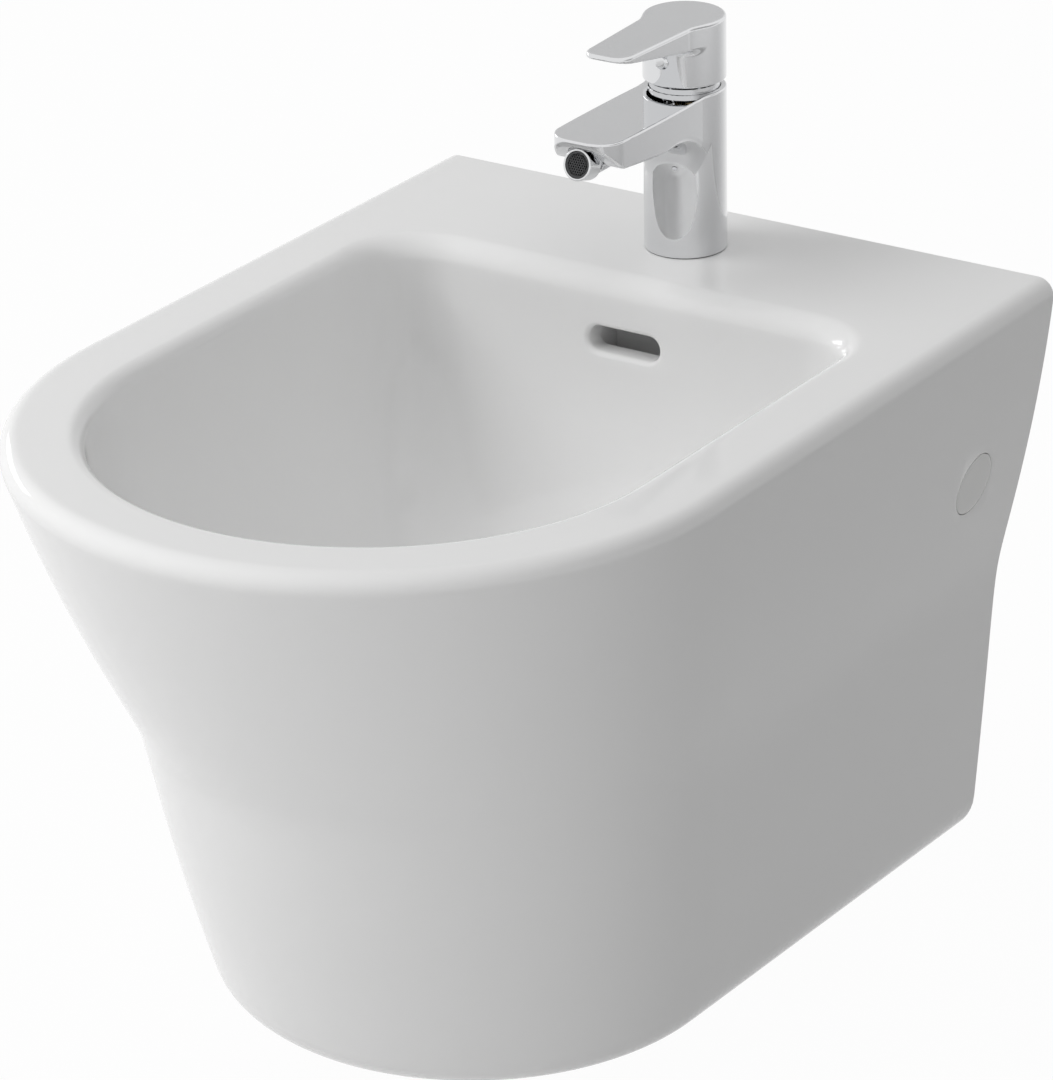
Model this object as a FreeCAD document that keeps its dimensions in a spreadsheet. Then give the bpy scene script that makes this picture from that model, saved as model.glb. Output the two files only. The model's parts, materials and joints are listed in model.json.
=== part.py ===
import FreeCAD, Part
import math
import operator
import os
import Sketcher
from FreeCAD import Placement, Rotation, Vector

# Wall-hung bidet with a single-lever mixer, millimetres.
# The wall is the plane y = 0, the bowl points towards -Y and +Z is up.
# The origin is midway between the two wall fixing holes.

SIZES = {
    # ceramic shell: outer form at five levels, each drawn in from the rim
    "rim_height": 100.0,
    "body_width": 393.0,
    "body_depth": 534.5,
    "body_height": 344.0,
    "belly_drop": 85.0,
    "belly_side_inset": 13.0,
    "belly_round_inset": 14.0,
    "belly_front_inset": 36.5,
    "waist_drop": 171.0,
    "waist_side_inset": 33.5,
    "waist_round_inset": 35.5,
    "waist_front_inset": 82.5,
    "skirt_drop": 257.0,
    "skirt_side_inset": 39.5,
    "skirt_round_inset": 44.5,
    "skirt_front_inset": 103.5,
    "foot_side_inset": 47.0,
    "foot_round_inset": 56.0,
    "foot_front_inset": 131.5,
    "rim_round": 9.5,
    "waist_round": 20.0,
    "foot_round": 30.0,
    "shell_wall": 12.0,
    "deck_thickness": 14.0,
    "floor_thickness": 12.0,
    "floor_opening_width": 180.0,
    "floor_opening_length": 320.0,
    # bowl: opening inside the rim and two lower levels, each drawn in from the opening
    "rim_side": 46.5,
    "rim_front": 44.5,
    "bowl_rear": 117.0,
    "bowl_corner": 38.0,
    "bowl_wall": 11.0,
    "bowl_lip_round": 9.0,
    "bowl_depth": 160.0,
    "bowl_upper_drop": 65.0,
    "bowl_upper_side_inset": 8.0,
    "bowl_upper_rear_inset": 5.0,
    "bowl_upper_front_inset": 12.0,
    "bowl_lower_rise": 30.0,
    "bowl_lower_side_inset": 37.0,
    "bowl_lower_rear_inset": 33.0,
    "bowl_lower_front_inset": 62.0,
    # floor of the bowl, about the waste
    "bowl_floor_width": 130.0,
    "bowl_floor_behind": 74.0,
    "bowl_floor_before": 76.0,
    # overflow slot and its duct to the waste
    "slot_width": 45.0,
    "slot_height": 14.0,
    "slot_drop": 37.0,
    "duct_depth": 14.0,
    "duct_wall": 8.0,
    "duct_rear": 90.0,
    "duct_below": 36.0,
    # side fixings
    "fixing_spacing": 180.0,
    "fixing_hole": 13.0,
    "side_fixing_setback": 57.0,
    "side_hole": 18.0,
    "cap_diameter": 31.0,
    "cap_inset": 8.0,
    "sleeve_flange": 24.0,
    "sleeve_flange_inset": 17.8,
    "bracket_plate": 6.0,
    "bracket_height": 44.0,
    "bracket_inner": 62.0,
    "bracket_inset": 31.0,
    "bracket_arm": 12.0,
    "bracket_reach": 80.0,
    "screw_diameter": 8.0,
    "screw_head": 13.0,
    "screw_head_height": 4.5,
    "screw_socket": 6.0,
    # mixer body
    "tap_setback": 55.0,
    "tap_diameter": 45.0,
    "tap_hole": 35.0,
    "tap_top": 91.7,
    "base_seal_thickness": 0.8,
    "base_seal_diameter": 43.8,
    "spout_reach": 106.0,
    "spout_width": 40.0,
    "spout_corner": 10.0,
    "spout_lip": 3.0,
    "spout_undercut": 12.4,
    "spout_root_drop": 19.7,
    "horn_radius": 26.0,
    "nozzle_pocket": 22.4,
    "nozzle_boss": 15.0,
    "water_channel": 8.0,
    "inlet_thread": 10.0,
    "inlet_depth": 10.0,
    "inlet_offset": 8.0,
    "inlet_setback": 5.0,
    # mixer fixing below the deck
    "stud_diameter": 8.0,
    "stud_offset": 9.0,
    "stud_length": 66.0,
    "stud_grip": 10.0,
    "clamp_diameter": 46.0,
    "clamp_slot": 27.0,
    "clamp_slot_start": 1.5,
    "clamp_gasket_thickness": 3.0,
    "clamp_plate_thickness": 3.0,
    "clamp_nut_width": 13.0,
    "clamp_nut_height": 12.0,
    # cartridge
    "cartridge_diameter": 34.8,
    "cartridge_floor": 50.0,
    "cartridge_wall": 1.8,
    "base_thickness": 5.2,
    "port_seal": 0.8,
    "port_seal_diameter": 9.6,
    "port_bore": 6.4,
    "outlet_setback": 8.0,
    "outlet_groove": 14.0,
    "fixed_disc_diameter": 29.0,
    "moving_disc_diameter": 20.4,
    "disc_thickness": 4.0,
    "carrier_floor": 2.0,
    "carrier_relief": 5.2,
    "housing_top": 88.0,
    "housing_roof": 4.0,
    "block_flange": 30.4,
    "block_flange_height": 8.5,
    "block_neck": 21.6,
    "block_top": 94.0,
    "pivot_height": 84.0,
    "pivot_pin": 3.0,
    "pin_length": 19.6,
    "stem_width": 8.0,
    "stem_bar_drop": 6.0,
    "stem_arm": 14.0,
    "stem_ball": 6.0,
    "stem_rod": 5.2,
    "stem_slot_front": 7.8,
    "stem_slot_rear": 8.6,
    "nut_height": 5.0,
    "cover_diameter": 38.4,
    "cover_bore": 23.4,
    "cover_thickness": 1.4,
    "cover_height": 4.4,
    # handle
    "handle_gap": 4.6,
    "handle_top": 131.3,
    "handle_tip_top": 127.0,
    "handle_tip_thickness": 4.1,
    "handle_root_under": 118.6,
    "lever_reach": 80.5,
    "lever_width": 33.0,
    "lever_corner": 9.0,
    "handle_wall": 2.0,
    "handle_roof_under": 122.0,
    "hub_diameter": 18.0,
    "hub_bottom": 104.0,
    "relief_start": 9.0,
    "relief_rise": 5.7,
    "index_height": 110.6,
    "index_diameter": 8.5,
    "index_stem": 6.0,
    "index_dome": 1.6,
    "index_crown": 6.0,
    "grub_diameter": 5.0,
    "grub_length": 5.0,
    # nozzle
    "nozzle_drop": 14.9,
    "nozzle_reach": 97.8,
    "nozzle_lift": 15.0,
    "barrel_diameter": 17.0,
    "barrel_rear": 2.7,
    "barrel_front": 8.0,
    "barrel_bore": 14.4,
    "ball_diameter": 11.4,
    "ball_neck": 7.0,
    "ball_shank": 8.9,
    "ball_bore": 5.0,
    "boss_face": 92.0,
    "shank_length": 12.0,
    "neck_seal_diameter": 12.0,
    "neck_seal_depth": 2.0,
    "seat_start": 0.6,
    "seat_end": 3.6,
    "ball_flat": 4.5,
    "washer_bore": 9.6,
    "washer_thickness": 2.0,
    "insert_thickness": 2.0,
    "insert_hole": 1.5,
    "insert_inner_ring": 2.6,
    "insert_outer_ring": 5.2,
    # waste and plug
    "waste_setback": 272.0,
    "waste_hole": 45.0,
    "waste_boss": 72.0,
    "waste_boss_depth": 46.0,
    "waste_recess": 4.0,
    "flange_diameter": 64.0,
    "flange_thickness": 3.0,
    "flange_fit": 0.6,
    "flange_seal_thickness": 0.8,
    "flange_seal_bore": 48.0,
    "tail_diameter": 41.9,
    "tail_bore": 35.0,
    "tail_length": 90.0,
    "spigot_diameter": 40.0,
    "spigot_length": 24.0,
    "tail_slot_width": 12.0,
    "guide_drop": 18.0,
    "guide_height": 5.0,
    "guide_width": 4.0,
    "guide_hub": 12.0,
    "waste_gasket_height": 8.0,
    "waste_gasket_diameter": 62.0,
    "waste_nut_height": 10.0,
    "waste_nut_width": 52.0,
    "plug_diameter": 62.0,
    "plug_lift": 6.5,
    "plug_edge": 2.5,
    "plug_crown": 2.0,
    "plug_shoulder": 1.6,
    "plug_shoulder_diameter": 50.0,
    "plug_seal_height": 3.5,
    "plug_seal_diameter": 34.0,
    "plug_stem": 6.0,
    "plug_stem_length": 46.0,
    "plug_collar": 11.0,
    "plug_collar_drop": 8.0,
    "plug_collar_height": 2.0,
    "spring_diameter": 8.6,
    "spring_wire": 1.0,
    "spring_turns": 5.0,
    # clearances
    "fit": 0.3,
    "running_fit": 0.05,
    "screw_fit": 0.1,
    "open_back": 20.0,
}

doc = FreeCAD.newDocument("Bidet")
sheet = doc.addObject("Spreadsheet::Sheet", "Sizes")


class Size:
    """A size with its value and the sheet formula that gives it."""

    def __init__(self, value, formula):
        self.value = value
        self.formula = formula

    def __add__(self, other):
        return combine(self, operator.add, "+", other)

    def __radd__(self, other):
        return combine(other, operator.add, "+", self)

    def __sub__(self, other):
        return combine(self, operator.sub, "-", other)

    def __rsub__(self, other):
        return combine(other, operator.sub, "-", self)

    def __mul__(self, other):
        return combine(self, operator.mul, "*", other)

    def __rmul__(self, other):
        return combine(other, operator.mul, "*", self)

    def __truediv__(self, other):
        return combine(self, operator.truediv, "/", other)

    def __neg__(self):
        return 0.0 - self


def as_size(value):
    if isinstance(value, Size):
        return value
    return Size(float(value), repr(float(value)))


def combine(left, action, sign, right):
    left = as_size(left)
    right = as_size(right)
    return Size(action(left.value, right.value), f"({left.formula} {sign} {right.formula})")


class Sheet:
    """The named sizes of the sheet, each as a Size."""


s = Sheet()
for row, (alias, number) in enumerate(SIZES.items(), start=1):
    sheet.set(f"A{row}", alias)
    sheet.set(f"B{row}", str(number))
    sheet.setAlias(f"B{row}", alias)
    setattr(s, alias, Size(number, f"Sizes.{alias}"))
doc.recompute()

TURN = {
    "+z": Rotation(),
    "-z": Rotation(Vector(1, 0, 0), 180),
    "+x": Rotation(Vector(0, 1, 0), 90),
    "-x": Rotation(Vector(0, 1, 0), -90),
    "-y": Rotation(Vector(1, 0, 0), 90),
    "+y": Rotation(Vector(1, 0, 0), -90),
}
SIDES = (("left", -1, "-x"), ("right", 1, "+x"))
HEX = math.sqrt(3)
NEAR = 0.1
pieces = []


def bind(obj, name, size):
    obj.setExpression(name, as_size(size).formula)


def place(obj, at, turn="+z"):
    rotation = turn if isinstance(turn, Rotation) else TURN[turn]
    sizes = [as_size(value) for value in at]
    obj.Placement = Placement(Vector(*[size.value for size in sizes]), rotation)
    for axis, size in zip("xyz", sizes):
        obj.setExpression(f"Placement.Base.{axis}", size.formula)


def keep(obj, label):
    obj.Label = label
    pieces.append(obj)
    return obj


def cylinder(name, diameter, height, at=(0, 0, 0), turn="+z", kind="Part::Cylinder", body=None):
    obj = body.newObject(kind, name) if body else doc.addObject(kind, name)
    bind(obj, "Radius", diameter / 2)
    bind(obj, "Height", height)
    place(obj, at, turn)
    return obj


def box(name, low, high, kind="Part::Box", body=None):
    obj = body.newObject(kind, name) if body else doc.addObject(kind, name)
    for side, start, end in zip(("Length", "Width", "Height"), low, high):
        bind(obj, side, as_size(end) - start)
    place(obj, low)
    return obj


def hexagon(name, width, height, at, turn="+z"):
    obj = doc.addObject("Part::Prism", name)
    obj.Polygon = 6
    bind(obj, "Circumradius", width / HEX)
    bind(obj, "Height", height)
    place(obj, at, turn)
    return obj


def add_round(body, name, diameter, height, at):
    return cylinder(name, diameter, height, at, "+z", "PartDesign::AdditiveCylinder", body)


def cut_round(body, name, diameter, height, at, turn="+z"):
    return cylinder(name, diameter, height, at, turn, "PartDesign::SubtractiveCylinder", body)


def add_block(body, name, low, high):
    return box(name, low, high, "PartDesign::AdditiveBox", body)


def cut_block(body, name, low, high):
    return box(name, low, high, "PartDesign::SubtractiveBox", body)


def fuse(name, *shapes):
    obj = doc.addObject("Part::MultiFuse", name)
    obj.Shapes = list(shapes)
    return obj


def common(name, *shapes):
    obj = doc.addObject("Part::MultiCommon", name)
    obj.Shapes = list(shapes)
    return obj


def cut(name, base, *tools):
    obj = doc.addObject("Part::Cut", name)
    obj.Base = base
    obj.Tool = tools[0] if len(tools) == 1 else fuse(f"{name}_tools", *tools)
    return obj


def group(name, *shapes):
    obj = doc.addObject("Part::Compound", name)
    obj.Links = list(shapes)
    return obj


def new_body(name, at=(0, 0, 0), turn="+z"):
    body = doc.addObject("PartDesign::Body", name)
    place(body, at, turn)
    return body


def new_sketch(body, name, role, height=0):
    sketch = body.newObject("Sketcher::SketchObject", name)
    plane = [item for item in body.Origin.OriginFeatures if item.Role == role][0]
    sketch.AttachmentSupport = (plane, [""])
    sketch.MapMode = "FlatFace"
    level = as_size(height)
    sketch.AttachmentOffset = Placement(Vector(0, 0, level.value), Rotation())
    sketch.setExpression("AttachmentOffset.Base.z", level.formula)
    return sketch


def limit(sketch, kind, *where_and_size):
    *where, size = where_and_size
    size = as_size(size)
    index = sketch.addConstraint(Sketcher.Constraint(kind, *where, size.value))
    sketch.setExpression(f"Constraints[{index}]", size.formula)


def tie(sketch, *constraints):
    for constraint in constraints:
        sketch.addConstraint(Sketcher.Constraint(*constraint))


def outline(sketch, points):
    """Closed polygon whose corners are all set by sizes."""
    sizes = [(as_size(x), as_size(y)) for x, y in points]
    count = len(sizes)
    for index in range(count):
        start = sizes[index]
        end = sizes[(index + 1) % count]
        first = Vector(start[0].value, start[1].value, 0)
        last = Vector(end[0].value, end[1].value, 0)
        sketch.addGeometry(Part.LineSegment(first, last))
    for index in range(count):
        tie(sketch, ("Coincident", index, 2, (index + 1) % count, 1))
    for index, (x, y) in enumerate(sizes):
        limit(sketch, "DistanceX", -1, 1, index, 1, x)
        limit(sketch, "DistanceY", -1, 1, index, 1, y)


def pad(name, role, points, length, at=(0, 0, 0), both_sides=True):
    """Prism of an outline, with its body at a place."""
    body = new_body(name, at)
    sketch = new_sketch(body, f"{name}_outline", role)
    outline(sketch, points)
    feature = body.newObject("PartDesign::Pad", f"{name}_pad")
    feature.Profile = sketch
    feature.SideType = "Symmetric" if both_sides else "One side"
    bind(feature, "Length", length)
    return body, feature


def turned(name, profile, at=(0, 0, 0), turn="+z"):
    """Ring or disc turned from a profile of (diameter, height) corners."""
    body = new_body(name, at, turn)
    sketch = new_sketch(body, f"{name}_profile", "XZ_Plane")
    outline(sketch, [(as_size(diameter) / 2, height) for diameter, height in profile])
    feature = body.newObject("PartDesign::Revolution", f"{name}_turning")
    feature.Profile = sketch
    feature.ReferenceAxis = (sketch, ["V_Axis"])
    feature.Angle = 360
    return body


def ring(name, outer, inner, low, high, at=(0, 0, 0), turn="+z"):
    return turned(name, [(inner, low), (outer, low), (outer, high), (inner, high)], at, turn)


def disc(name, diameter, low, high, at=(0, 0, 0), turn="+z"):
    return turned(name, [(0, low), (diameter, low), (diameter, high), (0, high)], at, turn)


def edges_where(feature, test):
    doc.recompute()
    numbered = enumerate(feature.Shape.Edges, start=1)
    return [f"Edge{number}" for number, edge in numbered if test(edge.BoundBox)]


def edges_at(feature, height):
    """Edges that lie flat at one height and reach forward of the wall."""
    low = height.value - NEAR
    high = height.value + NEAR
    return edges_where(feature, lambda b: b.ZMin > low and b.ZMax < high and b.YMin < -1)


def round_edges(body, name, base, edges, radius):
    feature = body.newObject("PartDesign::Fillet", name)
    feature.Base = (base, edges)
    bind(feature, "Radius", radius)
    return feature


# Ceramic body

def shell_section(body, name, height, rear_width, front_radius, depth, behind=0):
    """Plan of the shell: straight back, two sides and a round front that they touch."""
    sketch = new_sketch(body, name, "XY_Plane", height)
    rear = as_size(rear_width) / 2
    centre = as_size(depth) - front_radius
    behind = as_size(behind)
    radius = as_size(front_radius).value
    reach = math.hypot(rear.value, centre.value + behind.value)
    touch = math.atan2(centre.value + behind.value, rear.value) - math.acos(min(1.0, radius / reach))
    corner = Vector(rear.value, behind.value, 0)
    meet = Vector(radius * math.cos(touch), radius * math.sin(touch) - centre.value, 0)
    mirrored_corner = Vector(-corner.x, corner.y, 0)
    mirrored_meet = Vector(-meet.x, meet.y, 0)
    circle = Part.Circle(Vector(0, -centre.value, 0), Vector(0, 0, 1), radius)
    sketch.addGeometry(Part.LineSegment(mirrored_corner, corner))
    sketch.addGeometry(Part.LineSegment(corner, meet))
    sketch.addGeometry(Part.ArcOfCircle(circle, math.pi - touch, 2 * math.pi + touch))
    sketch.addGeometry(Part.LineSegment(mirrored_meet, mirrored_corner))
    tie(
        sketch,
        ("Coincident", 0, 2, 1, 1),
        ("Tangent", 1, 2, 2, 2),
        ("Tangent", 2, 1, 3, 1),
        ("Coincident", 3, 2, 0, 1),
        ("Symmetric", 0, 1, 0, 2, -2),
        ("PointOnObject", 2, 3, -2),
    )
    limit(sketch, "Radius", 2, front_radius)
    limit(sketch, "DistanceX", 0, 1, 0, 2, rear_width)
    limit(sketch, "DistanceY", 2, 3, -1, 1, centre)
    limit(sketch, "DistanceY", -1, 1, 0, 1, behind)
    return sketch


def bowl_section(body, name, height, width, rear, front, corner):
    """Plan of the bowl: rounded rear corners, straight sides and a half-round front."""
    sketch = new_sketch(body, name, "XY_Plane", height)
    half = as_size(width) / 2
    centre = as_size(front) - half
    inner = half.value - as_size(corner).value
    bend = as_size(rear).value + as_size(corner).value
    up = Vector(0, 0, 1)
    front_circle = Part.Circle(Vector(0, -centre.value, 0), up, half.value)
    right_circle = Part.Circle(Vector(inner, -bend, 0), up, as_size(corner).value)
    left_circle = Part.Circle(Vector(-inner, -bend, 0), up, as_size(corner).value)
    rear_left = Vector(-inner, -as_size(rear).value, 0)
    rear_right = Vector(inner, -as_size(rear).value, 0)
    side_top = Vector(half.value, -bend, 0)
    side_end = Vector(half.value, -centre.value, 0)
    mirrored_top = Vector(-half.value, -bend, 0)
    mirrored_end = Vector(-half.value, -centre.value, 0)
    sketch.addGeometry(Part.LineSegment(rear_left, rear_right))
    sketch.addGeometry(Part.ArcOfCircle(right_circle, 0, math.pi / 2))
    sketch.addGeometry(Part.LineSegment(side_top, side_end))
    sketch.addGeometry(Part.ArcOfCircle(front_circle, math.pi, 2 * math.pi))
    sketch.addGeometry(Part.LineSegment(mirrored_end, mirrored_top))
    sketch.addGeometry(Part.ArcOfCircle(left_circle, math.pi / 2, math.pi))
    tie(
        sketch,
        ("Tangent", 0, 2, 1, 2),
        ("Tangent", 1, 1, 2, 1),
        ("Tangent", 2, 2, 3, 2),
        ("Tangent", 3, 1, 4, 1),
        ("Tangent", 4, 2, 5, 2),
        ("Tangent", 5, 1, 0, 1),
        ("PointOnObject", 3, 3, -2),
        ("Symmetric", 0, 1, 0, 2, -2),
        ("Vertical", 2),
    )
    limit(sketch, "Radius", 3, half)
    limit(sketch, "Radius", 1, corner)
    limit(sketch, "DistanceY", 3, 3, -1, 1, centre)
    limit(sketch, "DistanceY", 0, 1, -1, 1, rear)
    return sketch


def loft(body, name, sections, kind):
    feature = body.newObject(f"PartDesign::{kind}Loft", name)
    feature.Profile = sections[0]
    feature.Sections = sections[1:]
    feature.Ruled = False
    return feature


rim = s.rim_height
foot = rim - s.body_height
half_width = s.body_width / 2


def drawn_in(drop, side_inset, round_inset, front_inset):
    """Height, rear width, front radius and depth of a level of the shell below the rim."""
    width = 2 * (half_width - side_inset)
    return (rim - drop, width, half_width - round_inset, s.body_depth - front_inset)


OUTER_LEVELS = {
    "rim": drawn_in(0, 0, 0, 0),
    "belly": drawn_in(s.belly_drop, s.belly_side_inset, s.belly_round_inset, s.belly_front_inset),
    "waist": drawn_in(s.waist_drop, s.waist_side_inset, s.waist_round_inset, s.waist_front_inset),
    "skirt": drawn_in(s.skirt_drop, s.skirt_side_inset, s.skirt_round_inset, s.skirt_front_inset),
    "foot": drawn_in(s.body_height, s.foot_side_inset, s.foot_round_inset, s.foot_front_inset),
}
UPPER = ("rim", "belly", "waist")
LOWER = ("waist", "skirt", "foot")


def two_lofts(body, name, sections, kind):
    """An upper and a lower loft that meet at the waist."""
    loft(body, f"{name}_upper", [sections[label] for label in UPPER], kind)
    return loft(body, f"{name}_lower", [sections[label] for label in LOWER], kind)


def shell_form(body, name):
    """Outer form, with its edges at the waist, rim and foot rounded."""
    sections = {}
    for label, level in OUTER_LEVELS.items():
        sections[label] = shell_section(body, f"{name}_{label}", *level)
    base = two_lofts(body, name, sections, "Additive")
    rounds = (
        ("waist", rim - s.waist_drop, s.waist_round),
        ("rim", rim, s.rim_round),
        ("foot", foot, s.foot_round),
    )
    for label, height, radius in rounds:
        base = round_edges(body, f"{name}_{label}_round", base, edges_at(base, height), radius)
    return base


def hollow_form(body):
    """Space inside the shell, open at the back."""
    wall = s.shell_wall
    sections = {}
    for label, (height, width, radius, depth) in OUTER_LEVELS.items():
        if label == "rim":
            height = height - s.deck_thickness
        if label == "foot":
            height = height + s.floor_thickness
        sizes = (width - 2 * wall, radius - wall, depth - wall, s.open_back)
        sections[label] = shell_section(body, f"hollow_{label}", height, *sizes)
    two_lofts(body, "hollow", sections, "Subtractive")


bowl_width = s.body_width - 2 * s.rim_side
bowl_front = s.body_depth - s.rim_front
floor_rear = s.waste_setback - s.bowl_floor_behind
floor_front = s.waste_setback + s.bowl_floor_before


def bowl_level(drop, side_inset, rear_inset, front_inset):
    """Drop, width, rear and front of a level of the bowl below its opening."""
    return (drop, bowl_width - 2 * side_inset, s.bowl_rear + rear_inset, bowl_front - front_inset)


upper_insets = (s.bowl_upper_side_inset, s.bowl_upper_rear_inset, s.bowl_upper_front_inset)
lower_insets = (s.bowl_lower_side_inset, s.bowl_lower_rear_inset, s.bowl_lower_front_inset)
BOWL_LEVELS = [
    ("opening", *bowl_level(0, 0, 0, 0)),
    ("upper", *bowl_level(s.bowl_upper_drop, *upper_insets)),
    ("lower", *bowl_level(s.bowl_depth - s.bowl_lower_rise, *lower_insets)),
    ("floor", s.bowl_depth, s.bowl_floor_width, floor_rear, floor_front),
]


def bowl_form(body, name, wall, top_drop, kind):
    sections = []
    for label, drop, width, rear, front in BOWL_LEVELS:
        level = rim - drop
        if label == "opening":
            level = rim - top_drop
        if label == "floor":
            level = level - wall
        sizes = (width + 2 * wall, rear - wall, front + wall, s.bowl_corner + wall)
        sections.append(bowl_section(body, f"{name}_{label}", level, *sizes))
    return loft(body, name, sections, kind)


waste_y = -s.waste_setback
bowl_floor = rim - s.bowl_depth
boss_foot = bowl_floor - s.waste_boss_depth
slot_level = rim - s.slot_drop
duct_half = s.slot_width / 2
duct_outer = duct_half + s.duct_wall
duct_front = -(s.duct_rear + s.duct_depth)
duct_foot = bowl_floor - s.duct_below
side_y = -s.side_fixing_setback
tap_y = -s.tap_setback
belly_half = half_width - s.belly_side_inset
cap_seat = belly_half - s.cap_inset
cap_reach = s.cap_inset + s.cap_diameter
bracket_outer = belly_half - s.bracket_inset


def is_bowl_lip(b):
    """True for an edge of the bowl opening, which keeps inside the outer edge of the rim."""
    side = max(abs(b.XMin), abs(b.XMax))
    inside = side < bowl_width.value / 2 + 1 and b.YMin > -bowl_front.value - 1
    return inside and b.ZMin > rim.value - NEAR and b.YMin < 1 - s.bowl_rear.value


def add_overflow_duct(body):
    """Walls of the duct that leads from the slot down to the waste."""
    wall = s.duct_wall
    upright_low = (-duct_outer, duct_front - wall, duct_foot - wall)
    upright_high = (duct_outer, wall - s.duct_rear, rim - s.deck_thickness / 2)
    add_block(body, "duct_upright", upright_low, upright_high)
    lower_low = (-duct_outer, waste_y, duct_foot - wall)
    lower_high = (duct_outer, duct_front, duct_foot + s.duct_depth + wall)
    add_block(body, "duct_lower", lower_low, lower_high)


def cut_overflow_duct(body):
    """Way through the duct and the round-ended slot in the back of the bowl."""
    upright_high = (duct_half, -s.duct_rear, slot_level + s.slot_height)
    cut_block(body, "duct_upright_way", (-duct_half, duct_front, duct_foot), upright_high)
    lower_high = (duct_half, duct_front, duct_foot + s.duct_depth)
    cut_block(body, "duct_lower_way", (-duct_half, waste_y, duct_foot), lower_high)
    half_height = s.slot_height / 2
    slot_end = s.slot_width / 2 - half_height
    slot_back = -(s.duct_rear + s.duct_depth / 2)
    slot_front = -(s.bowl_rear + s.bowl_upper_rear_inset + s.slot_height)
    slot_low = (-slot_end, slot_front, slot_level - half_height)
    cut_block(body, "slot_middle", slot_low, (slot_end, slot_back, slot_level + half_height))
    for label, sign, _ in SIDES:
        at = (sign * slot_end, slot_back, slot_level)
        cut_round(body, f"slot_{label}", s.slot_height, slot_back - slot_front, at, "-y")


def make_bidet_body():
    body = new_body("bidet_body")
    shell_form(body, "shell")
    hollow_form(body)
    bowl_form(body, "bowl_wall", s.bowl_wall, s.deck_thickness / 2, "Additive")
    add_round(body, "waste_boss", s.waste_boss, s.waste_boss_depth, (0, waste_y, boss_foot))
    add_overflow_duct(body)
    bowl = bowl_form(body, "bowl", 0, 0, "Subtractive")
    round_edges(body, "bowl_lip", bowl, edges_where(bowl, is_bowl_lip), s.bowl_lip_round)
    cut_overflow_duct(body)
    cut_round(body, "waste_way", s.waste_hole, s.bowl_depth, (0, waste_y, boss_foot - s.fit))
    seat_diameter = s.flange_diameter + 2 * s.flange_fit
    cut_round(body, "waste_seat", seat_diameter, s.bowl_depth, (0, waste_y, bowl_floor - s.waste_recess))
    tap_way_foot = rim - 2 * s.deck_thickness
    cut_round(body, "tap_way", s.tap_hole, 3 * s.deck_thickness, (0, tap_y, tap_way_foot))
    cap_hole = s.cap_diameter + 2 * s.fit
    for label, sign, turn in SIDES:
        hole_start = (sign * bracket_outer, side_y, 0)
        cut_round(body, f"side_hole_{label}", s.side_hole, s.bracket_inset, hole_start, turn)
        seat_start = (sign * cap_seat, side_y, 0)
        cut_round(body, f"cap_seat_{label}", cap_hole, cap_reach, seat_start, turn)
    half_opening = s.floor_opening_width / 2
    opening_rear = -s.shell_wall * 2
    opening_low = (-half_opening, opening_rear - s.floor_opening_length, foot - s.fit)
    opening_high = (half_opening, opening_rear, foot + s.floor_thickness + s.fit)
    cut_block(body, "floor_opening", opening_low, opening_high)
    keep(body, "bidet_body")


make_bidet_body()


# Hidden side fixings

sleeve_length = cap_seat - bracket_outer - s.fit
sleeve_flange_end = belly_half - s.sleeve_flange_inset
head_seat = sleeve_length - s.screw_head_height - s.fit


def make_side_caps():
    blank = new_body("cap_blank")
    shell_form(blank, "cap_shell")
    for label, sign, turn in SIDES:
        at = (sign * cap_seat, side_y, 0)
        plug = cylinder(f"cap_{label}_disc", s.cap_diameter, cap_reach, at, turn)
        keep(common(f"side_cap_{label}", blank, plug), f"side_cap_{label}")


def span(sign, near, far):
    """Low and high ends along X of a stretch on one side of the middle plane."""
    return (near, far) if sign > 0 else (-far, -near)


def make_brackets():
    half = s.bracket_height / 2
    for label, sign, turn in SIDES:
        plate_low, plate_high = span(sign, s.bracket_inner, bracket_outer)
        arm_low, arm_high = span(sign, bracket_outer - s.bracket_arm, bracket_outer)
        plate = box(f"plate_{label}", (plate_low, -s.bracket_plate, -half), (plate_high, 0, half))
        arm = box(f"arm_{label}", (arm_low, -s.bracket_reach, -half), (arm_high, 0, half))
        stud_at = (sign * s.fixing_spacing / 2, 0, 0)
        stud_hole = cylinder(f"stud_hole_{label}", s.fixing_hole, 2 * s.bracket_plate, stud_at, "-y")
        hole_at = (sign * (bracket_outer - 2 * s.bracket_arm), side_y, 0)
        hole_size = s.screw_diameter + 2 * s.screw_fit
        hole = cylinder(f"screw_hole_{label}", hole_size, 3 * s.bracket_arm, hole_at, turn)
        bracket = cut(f"wall_bracket_{label}", fuse(f"bracket_{label}", plate, arm), stud_hole, hole)
        keep(bracket, f"wall_bracket_{label}")


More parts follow.
